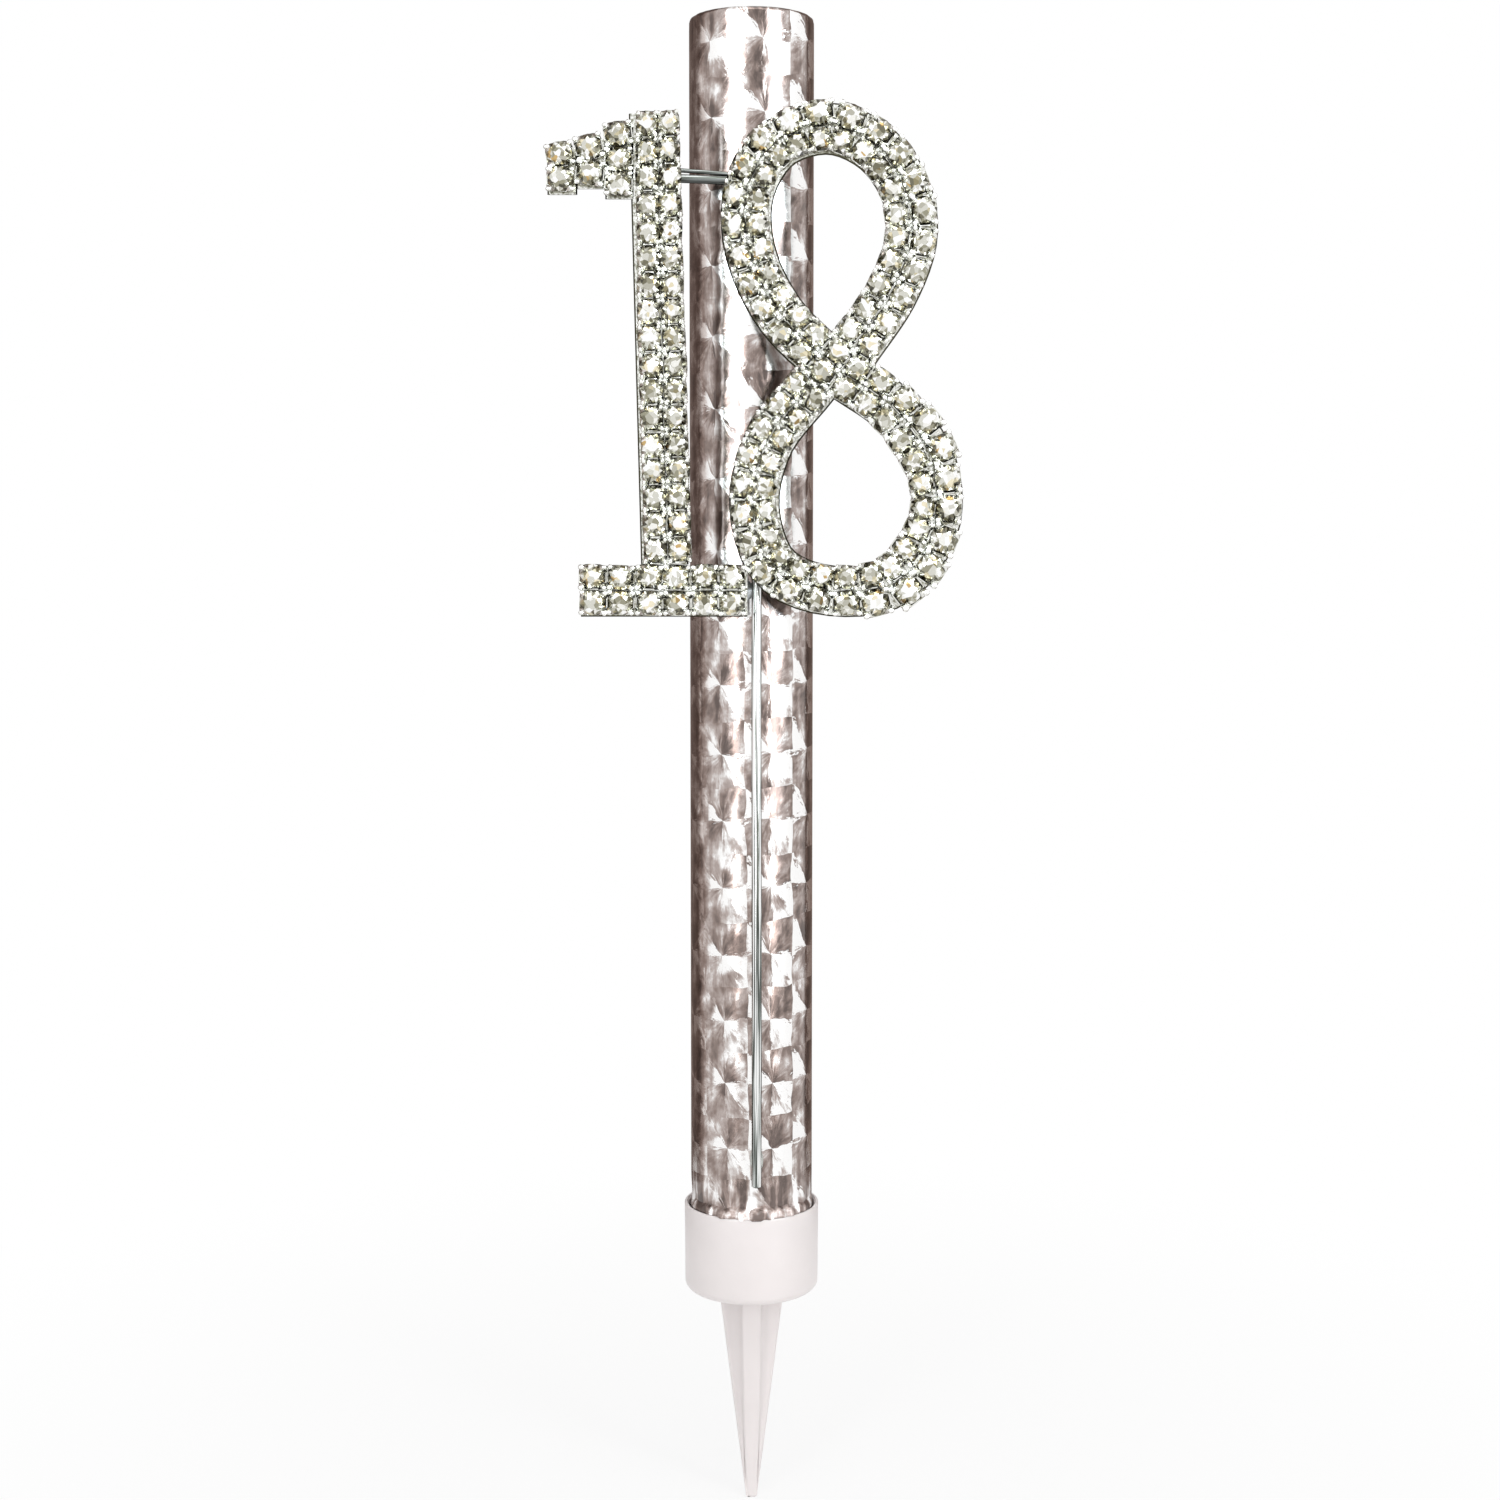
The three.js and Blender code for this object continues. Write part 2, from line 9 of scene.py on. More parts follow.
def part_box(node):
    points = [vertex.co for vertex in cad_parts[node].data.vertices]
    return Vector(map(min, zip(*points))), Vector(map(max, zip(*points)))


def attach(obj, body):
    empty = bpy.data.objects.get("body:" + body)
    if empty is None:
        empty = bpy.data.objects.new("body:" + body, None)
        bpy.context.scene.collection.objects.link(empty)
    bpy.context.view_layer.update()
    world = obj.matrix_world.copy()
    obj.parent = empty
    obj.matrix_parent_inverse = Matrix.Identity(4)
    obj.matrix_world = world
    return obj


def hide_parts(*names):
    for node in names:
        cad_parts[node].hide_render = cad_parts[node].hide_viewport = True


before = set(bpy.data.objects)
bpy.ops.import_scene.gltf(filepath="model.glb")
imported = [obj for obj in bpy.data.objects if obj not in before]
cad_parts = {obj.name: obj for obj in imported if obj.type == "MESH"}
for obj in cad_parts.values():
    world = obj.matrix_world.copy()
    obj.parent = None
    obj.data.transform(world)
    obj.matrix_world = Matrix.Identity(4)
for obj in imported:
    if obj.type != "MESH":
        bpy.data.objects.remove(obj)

bl_info = {
    "name": "Cake Fountain",
    "version": (1, 0, 0),
    "blender": (4, 5, 0),
    "location": "View3D > Sidebar > Fountain",
    "description": "Dresses a packed cake fountain with its foil, holder, fuse and rhinestone number",
    "category": "Add Mesh",
}

MM = 0.001
TAU = 2 * math.pi


def hex_rgb(value):
    """The three sRGB shares of a colour written as #rrggbb."""
    return tuple(int(value[i:i + 2], 16) / 255 for i in (1, 3, 5))


def measure(name, description, millimetres):
    """A property that holds a length."""
    return bpy.props.FloatProperty(name=name, description=description, default=millimetres * MM,
                                   unit="LENGTH", subtype="DISTANCE", precision=5)


class FountainHolder(bpy.types.PropertyGroup):
    wall: measure("Cup Wall", "Thickness of the cup's wall", 0.5)
    floor: measure("Cup Floor", "Thickness of the cup's floor", 1.0)
    corner: measure("Cup Corner", "Rounding of the cup's lower edge", 1.0)
    rib: measure("Rib Thickness", "Thickness of the spike's four ribs", 2.4)
    root: measure("Spike Root", "Width of the spike under the cup", 8.0)
    tip: measure("Spike Tip", "Width of the spike at its end", 1.3)
    colour: bpy.props.FloatVectorProperty(
        name="Plastic Colour", description="Colour of the moulded plastic", default=hex_rgb("#ede6e5"),
        subtype="COLOR_GAMMA", size=3, min=0.0, max=1.0)


class FountainFoil(bpy.types.PropertyGroup):
    edge: measure("Edge Rounding", "Rounding of the foil over the tube's rim", 0.55)
    thickness: measure("Foil Thickness", "Thickness of the wrapping", 0.2)
    crease: measure("Crease Depth", "Depth of the creases above the cup", 0.2)
    width: measure("Cell Width", "Width of one mosaic cell half way up", 6.15)
    pitch: measure("Cell Height", "Height of one mosaic cell at the cup", 7.64)


class FountainNumber(bpy.types.PropertyGroup):
    stone: measure("Stone Diameter", "Diameter of a stone's girdle", 2.75)
    table: measure("Table Diameter", "Diameter of a stone's flat top", 1.4)
    cup: measure("Claw Cup Side", "Side of a claw cup at its mouth", 2.8)
    foot: measure("Claw Cup Foot", "Side of a claw cup at its foot", 2.3)
    row: measure("Row Pitch", "Distance between the two rows", 2.9)


# Materials

MATH = "ShaderNodeMath"
NOISE = "ShaderNodeTexNoise"
RAMP = "ShaderNodeValToRGB"
RANGE = "ShaderNodeMapRange"
SPLIT = "ShaderNodeSeparateXYZ"
PLACES = "ShaderNodeTexCoord"
VECTOR = "ShaderNodeVectorMath"


def linear(colour):
    """A colour in linear light, from #rrggbb or three sRGB shares."""
    shares = hex_rgb(colour) if isinstance(colour, str) else tuple(colour)
    out = [s / 12.92 if s <= 0.04045 else ((s + 0.055) / 1.055) ** 2.4 for s in shares]
    return (*out, 1.0)


def add(tree, kind, settings=None, links=(), stops=()):
    """Adds a node with its settings, its inputs' values or links, and a colour ramp's stops.

    Settings are attributes by name, or an operation alone. Inputs go by name, by number or in order, and
    a node given for one stands for its first output. Stops are places with their colours.
    """
    node = tree.nodes.new(kind)
    attributes = {"operation": settings} if isinstance(settings, str) else settings or {}
    for name, value in attributes.items():
        setattr(node, name, value)
    inputs = links if isinstance(links, dict) else dict(enumerate(links))
    for name, value in inputs.items():
        if isinstance(value, bpy.types.Node):
            value = value.outputs[0]
        if isinstance(value, bpy.types.NodeSocket):
            tree.links.new(value, node.inputs[name])
        else:
            node.inputs[name].default_value = value
    while stops and len(node.color_ramp.elements) < len(stops):
        node.color_ramp.elements.new(0.5)
    for number, (place, colour) in enumerate(stops):
        element = node.color_ramp.elements[number]
        element.position = place
        element.color = linear(colour) if isinstance(colour, str) else (*colour, 1.0)
    return node


def blank(name, **sockets):
    """A new material whose Principled shader has these sockets set."""
    made = bpy.data.materials.new(name)
    made.use_nodes = True
    tree = made.node_tree
    tree.nodes.clear()
    shader = add(tree, "ShaderNodeBsdfPrincipled", links=sockets)
    add(tree, "ShaderNodeOutputMaterial", links=[shader])
    return made, tree, shader


def mottled(name, tones, patch, detail, lumps, depth, uneven=None, **sockets):
    """A material whose tone clouds over patches, with a fine relief of lumps; all sizes in millimetres."""
    made, tree, shader = blank(name, **sockets)
    place = add(tree, PLACES).outputs["Object"]
    cloud = add(tree, NOISE, links={"Vector": place, "Scale": 1 / (patch * MM), "Detail": detail})
    tint = add(tree, RAMP, links=[cloud], stops=tones)
    tree.links.new(tint.outputs[0], shader.inputs["Base Color"])
    fine = add(tree, NOISE, links={"Vector": place, "Scale": 1 / (lumps * MM), "Detail": 3.0})
    relief = add(tree, "ShaderNodeBump", links={"Height": fine, "Distance": depth * MM, "Strength": 1.0})
    tree.links.new(relief.outputs[0], shader.inputs["Normal"])
    if uneven is not None:
        # The shine changes with the tone
        rough = add(tree, MATH, "MULTIPLY_ADD", (cloud, 0.2, uneven))
        tree.links.new(rough.outputs[0], shader.inputs["Roughness"])
    return made


def moulded_polystyrene(colour):
    """Opaque polystyrene out of a polished mould: even and softly glossy, with faint flow marks."""
    light = linear(colour)[:3]
    tones = [(0.3, [share * 0.955 for share in light]), (0.7, light)]
    # The flow marks of the mould are under a tenth of a millimetre, drawn at 0.4 to show at all
    return mottled("moulded_polystyrene", tones, 6.0, 3.0, 0.4, 0.004, Roughness=0.36, IOR=1.55)


# The middle of a column of cells, in radians round from the front, and the cells up at the cup's underside
CELL_SIDE = 1.117
CELL_START = 0.01
# The share by which a column widens in each millimetre, and the height in millimetres where it is as given
CELL_SPREAD = 0.00137
CELL_LEVEL = 77
# Cells fewer for each square millimetre of height, and cells up for each radian round
CELL_CLIMB = 0.000049
LEAN_UP = -0.04
# The painted shade of the left side fades out between two places across, the gathered and the torn edge
# between two heights
PAINTED_SHADE_SIDE = (-4.0 * MM, 2.5 * MM)
GATHERED = (11.5 * MM, 16.5 * MM)
TORN = (11.3 * MM, 12.5 * MM)
# A cell's triangles, counted from the lower left round by the right to the upper left
# The triangles' tones are painted reflections: what each tilted triangle would give back of the room
TRIANGLE_TONES = (0.34, 0.24, 0.6, 0.95, 0.22, 0.1, 0.3, 1.05)
TRIANGLE_LEANS = ((0.25, 0.4), (0.6, 0.25), (0.4, 0.3), (0.6, 0.55), (0.75, 0.65), (0.45, 0.8), (0.6, 0.7),
                  (0.3, 0.5))


def mosaic(tree, place, look):
    """How many cells round and how many up each spot of the foil lies."""
    split = add(tree, SPLIT, links=[place]).outputs
    front = add(tree, MATH, "MULTIPLY", (split[1], -1.0))
    around = add(tree, MATH, "ARCTAN2", (split[0], front))
    # The film was stretched unevenly as it was wound on, so the cells aren't quite square
    drift = add(tree, NOISE, links={"Vector": place, "Scale": 1 / (4.5 * MM), "Detail": 2.0})
    drift = add(tree, "ShaderNodeSeparateColor", links=[drift.outputs["Color"]]).outputs
    # Towards the top the cells get a little wider and taller
    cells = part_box("foil_wrap")[1].x / look.width
    level = cells * (1 + CELL_LEVEL * CELL_SPREAD)
    spread = add(tree, MATH, "MULTIPLY_ADD", (split[2], -cells * CELL_SPREAD / MM, level))
    across = add(tree, MATH, "SUBTRACT", (around, CELL_SIDE))
    across = add(tree, MATH, "MULTIPLY_ADD", (across, spread, 0.5))
    across = add(tree, MATH, "ADD", (across, add(tree, MATH, "MULTIPLY_ADD", (drift[0], 0.2, -0.1))))
    climb = add(tree, MATH, "MULTIPLY_ADD", (split[2], -CELL_CLIMB / MM ** 2, 1 / look.pitch))
    climb = add(tree, MATH, "MULTIPLY_ADD", (split[2], climb, CELL_START))
    climb = add(tree, MATH, "ADD", (climb, add(tree, MATH, "MULTIPLY", (around, LEAN_UP))))
    climb = add(tree, MATH, "ADD", (climb, add(tree, MATH, "MULTIPLY_ADD", (drift[1], 0.2, -0.1))))
    return across, climb


def triangles_lean(tree, leans, stroke):
    """The foil's surface direction, with each triangle leaning by up to about six degrees."""
    facing = add(tree, "ShaderNodeNewGeometry").outputs["Normal"]
    sideways = add(tree, VECTOR, "CROSS_PRODUCT", ((0.0, 0.0, 1.0), facing))
    lean = add(tree, "ShaderNodeSeparateColor", links=[leans]).outputs
    side_lean = add(tree, MATH, "MULTIPLY_ADD", (lean[0], 0.2, -0.1))
    side_lean = add(tree, MATH, "ADD", (side_lean, add(tree, MATH, "MULTIPLY_ADD", (stroke, 0.2, -0.1))))
    up_lean = add(tree, MATH, "MULTIPLY_ADD", (lean[1], 0.2, -0.1))
    side_part = add(tree, VECTOR, "SCALE", {0: sideways, "Scale": side_lean})
    up_part = add(tree, "ShaderNodeCombineXYZ", links={2: up_lean})
    leaning = add(tree, VECTOR, "ADD", (add(tree, VECTOR, "ADD", (facing, side_part)), up_part))
    return add(tree, VECTOR, "NORMALIZE", [leaning])


def holographic_foil(look):
    """Paper faced with metallised embossed film.

    Each cell of the embossing is a pinwheel of eight triangles brushed and tilted eight ways. What
    neighbours would send back of the room, white beside grey with feathered streaks, is painted into each
    triangle's tone as painted reflection. On the left side the cells are blurred duller, as painted shade.
    """
    made, tree, shader = blank("holographic_metallised_paper", Metallic=1.0)
    # The film's clear face gives smooth white highlights over the brushed metal
    shader.inputs["Coat Weight"].default_value = 0.7
    shader.inputs["Coat Roughness"].default_value = 0.07
    place = add(tree, PLACES).outputs["Object"]
    split = add(tree, SPLIT, links=[place]).outputs
    across, climb = mosaic(tree, place, look)
    cell_x = add(tree, MATH, "SUBTRACT", (add(tree, MATH, "FRACT", [across]), 0.5))
    cell_y = add(tree, MATH, "SUBTRACT", (add(tree, MATH, "FRACT", [climb]), 0.5))
    angle = add(tree, MATH, "ARCTAN2", (cell_y, cell_x))
    spot = add(tree, "ShaderNodeCombineXYZ", links=(cell_x, cell_y))
    far = add(tree, VECTOR, "LENGTH", [spot]).outputs["Value"]
    # Brush strokes fan out from each cell's middle; they are 0.05 mm wide, drawn at 0.3 to show
    cell = add(tree, MATH, "MULTIPLY", (add(tree, MATH, "FLOOR", [climb]), 7.3))
    fan = add(tree, "ShaderNodeCombineXYZ", links=(
        add(tree, MATH, "MULTIPLY", (angle, 5.0)), add(tree, MATH, "MULTIPLY", (far, 3.5)),
        add(tree, MATH, "ADD", (cell, add(tree, MATH, "FLOOR", [across])))))
    stroke = add(tree, NOISE, links={"Vector": fan, "Scale": 1.0, "Detail": 6.0, "Roughness": 0.7})
    # The strokes fray the triangles' edges
    frayed = add(tree, MATH, "ADD", (angle, add(tree, MATH, "MULTIPLY_ADD", (stroke, 1.6, -0.8))))
    share = add(tree, MATH, "MULTIPLY_ADD", (frayed, 1 / TAU, 0.5))
    share = add(tree, MATH, "FRACT", [add(tree, MATH, "ADD", (share, 1.0))])
    # Painted reflection: each triangle gets its own tone
    tones = add(tree, RAMP, links=[share], stops=[(i / 8, (v, v, v)) for i, v in enumerate(TRIANGLE_TONES)])
    leans = add(tree, RAMP, links=[share], stops=[(i / 8, (*v, 0.5)) for i, v in enumerate(TRIANGLE_LEANS)])
    for wheel in (tones, leans):
        wheel.color_ramp.interpolation = "CONSTANT"
    # Upright streaks blur the cells; on the left side, as painted shade, only their middles stay clear
    upright = add(tree, "ShaderNodeMapping", {"vector_type": "POINT"}, {
        "Vector": place, "Scale": (1.0, 1.0, 0.12)})
    upright_streaks = add(tree, NOISE, links={"Vector": upright, "Scale": 1 / (1.1 * MM), "Detail": 4.0})
    # Painted shade: the left side of the tube is blurred duller, towards a mid tone
    side = add(tree, RANGE, links=(split[0], *PAINTED_SHADE_SIDE, 0.95, 0.0))
    outer = add(tree, RANGE, links=(far, 0.17, 0.36, 0.1, 1.0))
    # The gathered edge at the cup is blurred all over, and painted with light and dark upright streaks for
    # the light and shade of its creases
    gathered = add(tree, RANGE, links=(split[2], *GATHERED, 0.85, 0.0))
    painted_crease_streaks = add(tree, MATH, "MULTIPLY", (gathered, add(tree, MATH, "MULTIPLY_ADD", (upright_streaks, 2.2, -1.05))))
    left_shade_and_gathered = add(tree, MATH, "MAXIMUM", (add(tree, MATH, "MULTIPLY", (side, outer)), gathered))
    smear = add(tree, MATH, "ADD", (left_shade_and_gathered, add(tree, MATH, "MULTIPLY_ADD", (upright_streaks, 1.4, -0.7))))
    smear = add(tree, "ShaderNodeClamp", links=(smear, 0.0, 0.85))
    softened = add(tree, "ShaderNodeMix", {"data_type": "FLOAT"}, {0: smear, 2: tones, 3: 0.37})
    cloud = add(tree, NOISE, links={"Vector": place, "Scale": 1 / (2.6 * MM), "Detail": 5.0})
    # The strokes show less where the cells are blurred
    brushed = add(tree, MATH, "MULTIPLY", (add(tree, MATH, "SUBTRACT", (stroke, 0.5)),
                                           add(tree, MATH, "MULTIPLY_ADD", (smear, -0.8, 1.1))))
    mixed = add(tree, MATH, "ADD", (softened, brushed))
    for spots, reach in ((cloud, 1.3), (upright_streaks, 0.7)):
        swing = add(tree, MATH, "MULTIPLY_ADD", (spots, reach, -reach / 2))
        mixed = add(tree, MATH, "ADD", (mixed, swing))
    mixed = add(tree, MATH, "ADD", (mixed, painted_crease_streaks))
    # Painted shade: the torn edge over the cup's rim is darkened
    torn = add(tree, RANGE, links=(split[2], *TORN, 0.2, 0.0))
    mixed = add(tree, MATH, "SUBTRACT", (mixed, torn))
    tint = add(tree, RAMP, links=[mixed], stops=[
        (0.0, "#61544f"), (0.24, "#8f7e77"), (0.45, "#bbafaa"), (0.65, "#fbfaf9")])
    tree.links.new(tint.outputs[0], shader.inputs["Base Color"])
    rough = add(tree, MATH, "MULTIPLY_ADD", (gathered, 0.25, 0.1))
    rough = add(tree, MATH, "MULTIPLY_ADD", (torn, 1.2, rough))
    rough = add(tree, MATH, "MULTIPLY_ADD", (stroke, 0.2, rough))
    tree.links.new(rough.outputs[0], shader.inputs["Roughness"])
    tree.links.new(triangles_lean(tree, leans, stroke).outputs[0], shader.inputs["Normal"])
    return made


def wound_card():
    """Grey-brown chipboard wound on a mandrel: matt, and mottled by its short fibres."""
    tones = [(0.35, "#9f8a6e"), (0.65, "#c3b091")]
    return mottled("wound_chipboard", tones, 0.5, 6.0, 0.25, 0.03, Roughness=0.9, IOR=1.5)


def pressed_powder(name, dark, light, grit):
    """Dry powder rammed into a tube: dull, with visible grains."""
    tones = [(0.35, dark), (0.65, light)]
    return mottled(name, tones, grit, 5.0, grit / 2, 0.05, Roughness=0.95, IOR=1.5)


def sealing_tissue():
    """Thin white tissue pasted down: matt, slightly cockled."""
    tones = [(0.3, "#d9d1c4"), (0.7, "#f1ece2")]
    return mottled("pasted_tissue", tones, 0.8, 4.0, 1.5, 0.08, Roughness=0.85, IOR=1.5)


def lacquered_yarn():
    """Cotton yarn twisted and lacquered green: a dull sheen on slightly fuzzy threads."""
    tones = [(0.3, "#39533a"), (0.7, "#6d8c62")]
    return mottled("lacquered_cotton_yarn", tones, 0.2, 4.0, 0.12, 0.03, Roughness=0.55, IOR=1.5)


def stamped_plate():
    """Sheet steel stamped and plated with silver: a bright but slightly cloudy and uneven shine."""
    tones = [(0.35, "#cdcfce"), (0.65, "#dadbda")]
    return mottled("silver_plated_stamped_steel", tones, 2.5, 4.0, 2.5 / 4, 0.004, 0.2, Metallic=1.0)


def soft_solder():
    """Tin solder that set from the iron: grey and cloudy, with a wrinkled skin."""
    tones = [(0.35, "#8d9092"), (0.65, "#b4b7b8")]
    return mottled("soft_solder", tones, 0.9, 4.0, 0.9 / 4, 0.02, 0.3, Metallic=1.0)


def clear_glue():
    """Hot-melt glue set in the air: milky, glossy and slightly lumpy."""
    tones = [(0.3, "#a3a6a0"), (0.7, "#cdcfca")]
    return mottled("hot_melt_glue", tones, 1.0, 3.0, 0.8, 0.05, Roughness=0.25, IOR=1.48)


# The handled part of the stem ends between these heights
HANDLED = (46 * MM, 52 * MM)


def drawn_steel(name, along, tones=("#5b5f55", "#c5cac8", "#fafbfb"), rough=0.12, under=1.0):
    """Bright drawn steel wire: fine lines from the die run along it, painted dark beside white as painted
    reflections.
    """
    made, tree, shader = blank(name, Metallic=1.0, Roughness=rough)
    # Steel under its oily film gives back less at a grazing angle than plating does
    shader.inputs["Specular Tint"].default_value = linear("#4a4c46")
    place = add(tree, PLACES).outputs["Object"]
    # The die's lines are a few hundredths wide, drawn at 0.16 to show
    squeeze = [1.0 if side != along else 0.015 for side in range(3)]
    drawn = add(tree, "ShaderNodeMapping", {"vector_type": "POINT"}, {"Vector": place, "Scale": squeeze})
    lines = add(tree, NOISE, links={"Vector": drawn, "Scale": 1 / (0.16 * MM), "Detail": 2.0})
    # Painted reflection: both ramps turn the die's lines into dark and white streaks
    clean = add(tree, RAMP, links=[lines], stops=list(zip((0.36, 0.46, 0.55), tones)))
    dull = add(tree, RAMP, links=[lines], stops=[(0.41, "#40443f"), (0.47, "#9aa09c"), (0.54, "#f3f4f3")])
    # Below the number's height the wire is dulled by handling
    height = add(tree, SPLIT, links=[place]).outputs[2]
    grip = add(tree, RANGE, links=(height, *HANDLED, 1.0, 0.0))
    tint = add(tree, "ShaderNodeMix", {"data_type": "RGBA"}, {0: grip, 6: clean, 7: dull}).outputs[2]
    if under < 1.0:
        # Painted shade: the underside, which faces down, is darkened
        facing = add(tree, "ShaderNodeNewGeometry").outputs["Normal"]
        upward = add(tree, SPLIT, links=[facing]).outputs[2]
        light = add(tree, RANGE, links=(upward, -0.5, 0.35, under, 1.0))
        tint = add(tree, "ShaderNodeMix", {"data_type": "RGBA", "blend_type": "MULTIPLY"},
                   {0: 1.0, 6: tint, 7: light}).outputs[2]
    tree.links.new(tint, shader.inputs["Base Color"])
    relief = add(tree, "ShaderNodeBump", links={"Height": lines, "Distance": 0.01 * MM, "Strength": 1.0})
    tree.links.new(relief.outputs[0], shader.inputs["Normal"])
    return made


def plated_claws(front):
    """Silver-plated brass: a bright mirror on the claws, with painted shade between the cups and a painted
    shadow line at the strip's edges.
    """
    made, tree, shader = blank("silver_plated_brass", Metallic=1.0, Roughness=0.22)
    places = add(tree, PLACES).outputs
    depth = add(tree, SPLIT, links=[places["Object"]]).outputs[1]
    # From inside the strip, at 0, to the claws' tips, at 1
    height = add(tree, RANGE, links=(depth, front + 0.2 * MM, front - 1.55 * MM))
    wear = add(tree, NOISE, links={"Vector": places["Object"], "Scale": 1 / (0.3 * MM), "Detail": 4.0})
    patch = add(tree, NOISE, links={"Vector": places["Object"], "Scale": 1 / (0.9 * MM), "Detail": 3.0})
    patch = add(tree, RAMP, links=[patch], stops=[(0.54, (0, 0, 0)), (0.62, (1, 1, 1))])
    spotted = add(tree, MATH, "ADD", (height, add(tree, MATH, "MULTIPLY_ADD", (wear, 0.3, -0.15))))
    spotted = add(tree, MATH, "ADD", (spotted, add(tree, MATH, "MULTIPLY", (patch, -0.22))))
    # Painted shade: the cups are dark olive towards the strip, between them, and bright towards the claws'
    # tips; wear spots them
    cups = add(tree, RAMP, links=[spotted], stops=[
        (0.24, "#5a573f"), (0.38, "#9c9a87"), (0.5, "#d2d1c7"), (0.66, "#efefea")])
    strip = add(tree, RAMP, links=[wear], stops=[(0.36, "#8c8a79"), (0.46, "#c9c9c1"), (0.58, "#f4f4f0")])
    # Painted shadow: the strip's faces that don't face the front are darkened to a dark olive line
    facing = add(tree, SPLIT, links=[places["Normal"]]).outputs[1]
    cut = add(tree, RAMP, links=[add(tree, MATH, "MULTIPLY", (facing, -1.0))], stops=[
        (0.86, (1, 1, 1)), (0.94, (0, 0, 0))])
    strip = add(tree, "ShaderNodeMix", {"data_type": "RGBA"}, {0: cut, 6: strip, 7: linear("#4b4836")})
    low = add(tree, RAMP, links=[height], stops=[(0.14, (1, 1, 1)), (0.2, (0, 0, 0))])
    tint = add(tree, "ShaderNodeMix", {"data_type": "RGBA"}, {0: low, 6: cups, 7: strip.outputs[2]})
    tree.links.new(tint.outputs[2], shader.inputs["Base Color"])
    return made


def cut_crystal(front):
    """Machine-cut glass with a mirror back, over a dark ring of painted shade in its cup.

    Each facet has its own tone of painted reflection, broken by painted flecks of the facets behind it:
    white round the table as painted highlight, grey and olive towards the girdle, with a little amber.
    """
    made, tree, shader = blank("foiled_cut_crystal", Metallic=0.85, Roughness=0.05)
    places = add(tree, PLACES).outputs
    # Painted reflection: each facet gets a random tone from its own direction
    own = add(tree, VECTOR, "SNAP", (places["Normal"], (0.03, 0.03, 0.03)))
    facet = add(tree, "ShaderNodeTexWhiteNoise", {"noise_dimensions": "3D"}, {"Vector": own})
    # A back facet seen through the front one, a painted reflection, is over half a millimetre across
    fleck = add(tree, "ShaderNodeTexVoronoi", {"feature": "F1"}, {
        "Vector": places["Object"], "Scale": 1 / (0.62 * MM), "Randomness": 1.0}).outputs["Color"]
    fleck = add(tree, "ShaderNodeSeparateColor", links=[fleck]).outputs
    # Painted highlight: facets facing the front are made whiter, those towards the girdle darker
    painted_highlight_facing = add(tree, SPLIT, links=[places["Normal"]]).outputs[1]
    pick = add(tree, MATH, "MULTIPLY_ADD", (facet, 0.5, add(tree, MATH, "MULTIPLY", (fleck[0], 0.5))))
    pick = add(tree, MATH, "ADD", (pick, add(tree, MATH, "MULTIPLY_ADD", (painted_highlight_facing, -0.8, -0.68))))
    tint = add(tree, RAMP, links=[pick], stops=[
        (0.0, "#3b3725"), (0.14, "#6f6b54"), (0.24, "#98957f"), (0.35, "#b9b7a9"), (0.46, "#d6d5cb"),
        (0.58, "#f4f3ed"), (0.67, "#ffffff")])
    warm = add(tree, RAMP, links=[fleck[1]], stops=[
        (0.0, "#ffffff"), (0.84, "#f3e9cc"), (0.978, "#cfae70")])
    for steps in (tint, warm):
        steps.color_ramp.interpolation = "CONSTANT"
    glow = add(tree, "ShaderNodeMix", {"data_type": "RGBA", "blend_type": "MULTIPLY"},
               {0: 1.0, 6: tint, 7: warm}).outputs[2]
    # Painted shade: a dark ring under the girdle shows as a dark crescent where a stone sits to one side of
    # its cup
    depth = add(tree, SPLIT, links=[places["Object"]]).outputs[1]
    below = add(tree, RANGE, links=(depth, front - 0.96 * MM, front - 0.9 * MM))
    painted_cup_shade = add(tree, NOISE, links={"Vector": places["Object"], "Scale": 1 / (0.4 * MM), "Detail": 3.0})
    painted_cup_shade = add(tree, RAMP, links=[painted_cup_shade], stops=[(0.35, "#221f15"), (0.65, "#5b5740")])
    mixed = add(tree, "ShaderNodeMix", {"data_type": "RGBA"}, {0: below, 6: glow, 7: painted_cup_shade}).outputs[2]
    tree.links.new(mixed, shader.inputs["Base Color"])
    shader.inputs["Coat Weight"].default_value = 1.0
    shader.inputs["Coat Roughness"].default_value = 0.02
    return made


def seen_white(tree):
    """Whether a ray is the camera's or comes by a shiny or a clear surface, and so sees the white room."""
    rays = add(tree, "ShaderNodeLightPath").outputs
    seen = add(tree, MATH, "MAXIMUM", (rays["Is Camera Ray"], rays["Is Glossy Ray"]))
    return add(tree, MATH, "MAXIMUM", (seen, rays["Is Transmission Ray"]))


# Meshes

def bounded(value):
    """The value, kept from 0 to 1."""
    return min(max(value, 0.0), 1.0)


def placed(name, data):
    """A new object of the scene that shows this data."""
    made = bpy.data.objects.new(name, data)
    bpy.context.scene.collection.objects.link(made)
    return made


def clean_mesh(name, vertices, faces):
    """A welded mesh whose faces all look outwards."""
    data = bpy.data.meshes.new(name)
    data.from_pydata([tuple(v) for v in vertices], [], faces)
    mesh = bmesh.new()
    mesh.from_mesh(data)
    bmesh.ops.remove_doubles(mesh, verts=mesh.verts, dist=0.0005 * MM)
    bmesh.ops.recalc_face_normals(mesh, faces=mesh.faces)
    mesh.to_mesh(data)
    mesh.free()
    return data


def mesh_piece(name, parts, material, body, replaced, smooth=None):
    """A named piece from parts of points and faces, riding on a body and standing for CAD nodes."""
    made = placed(name, clean_mesh(name, *joined(parts)))
    finish_piece(made, material, body, replaced, smooth)


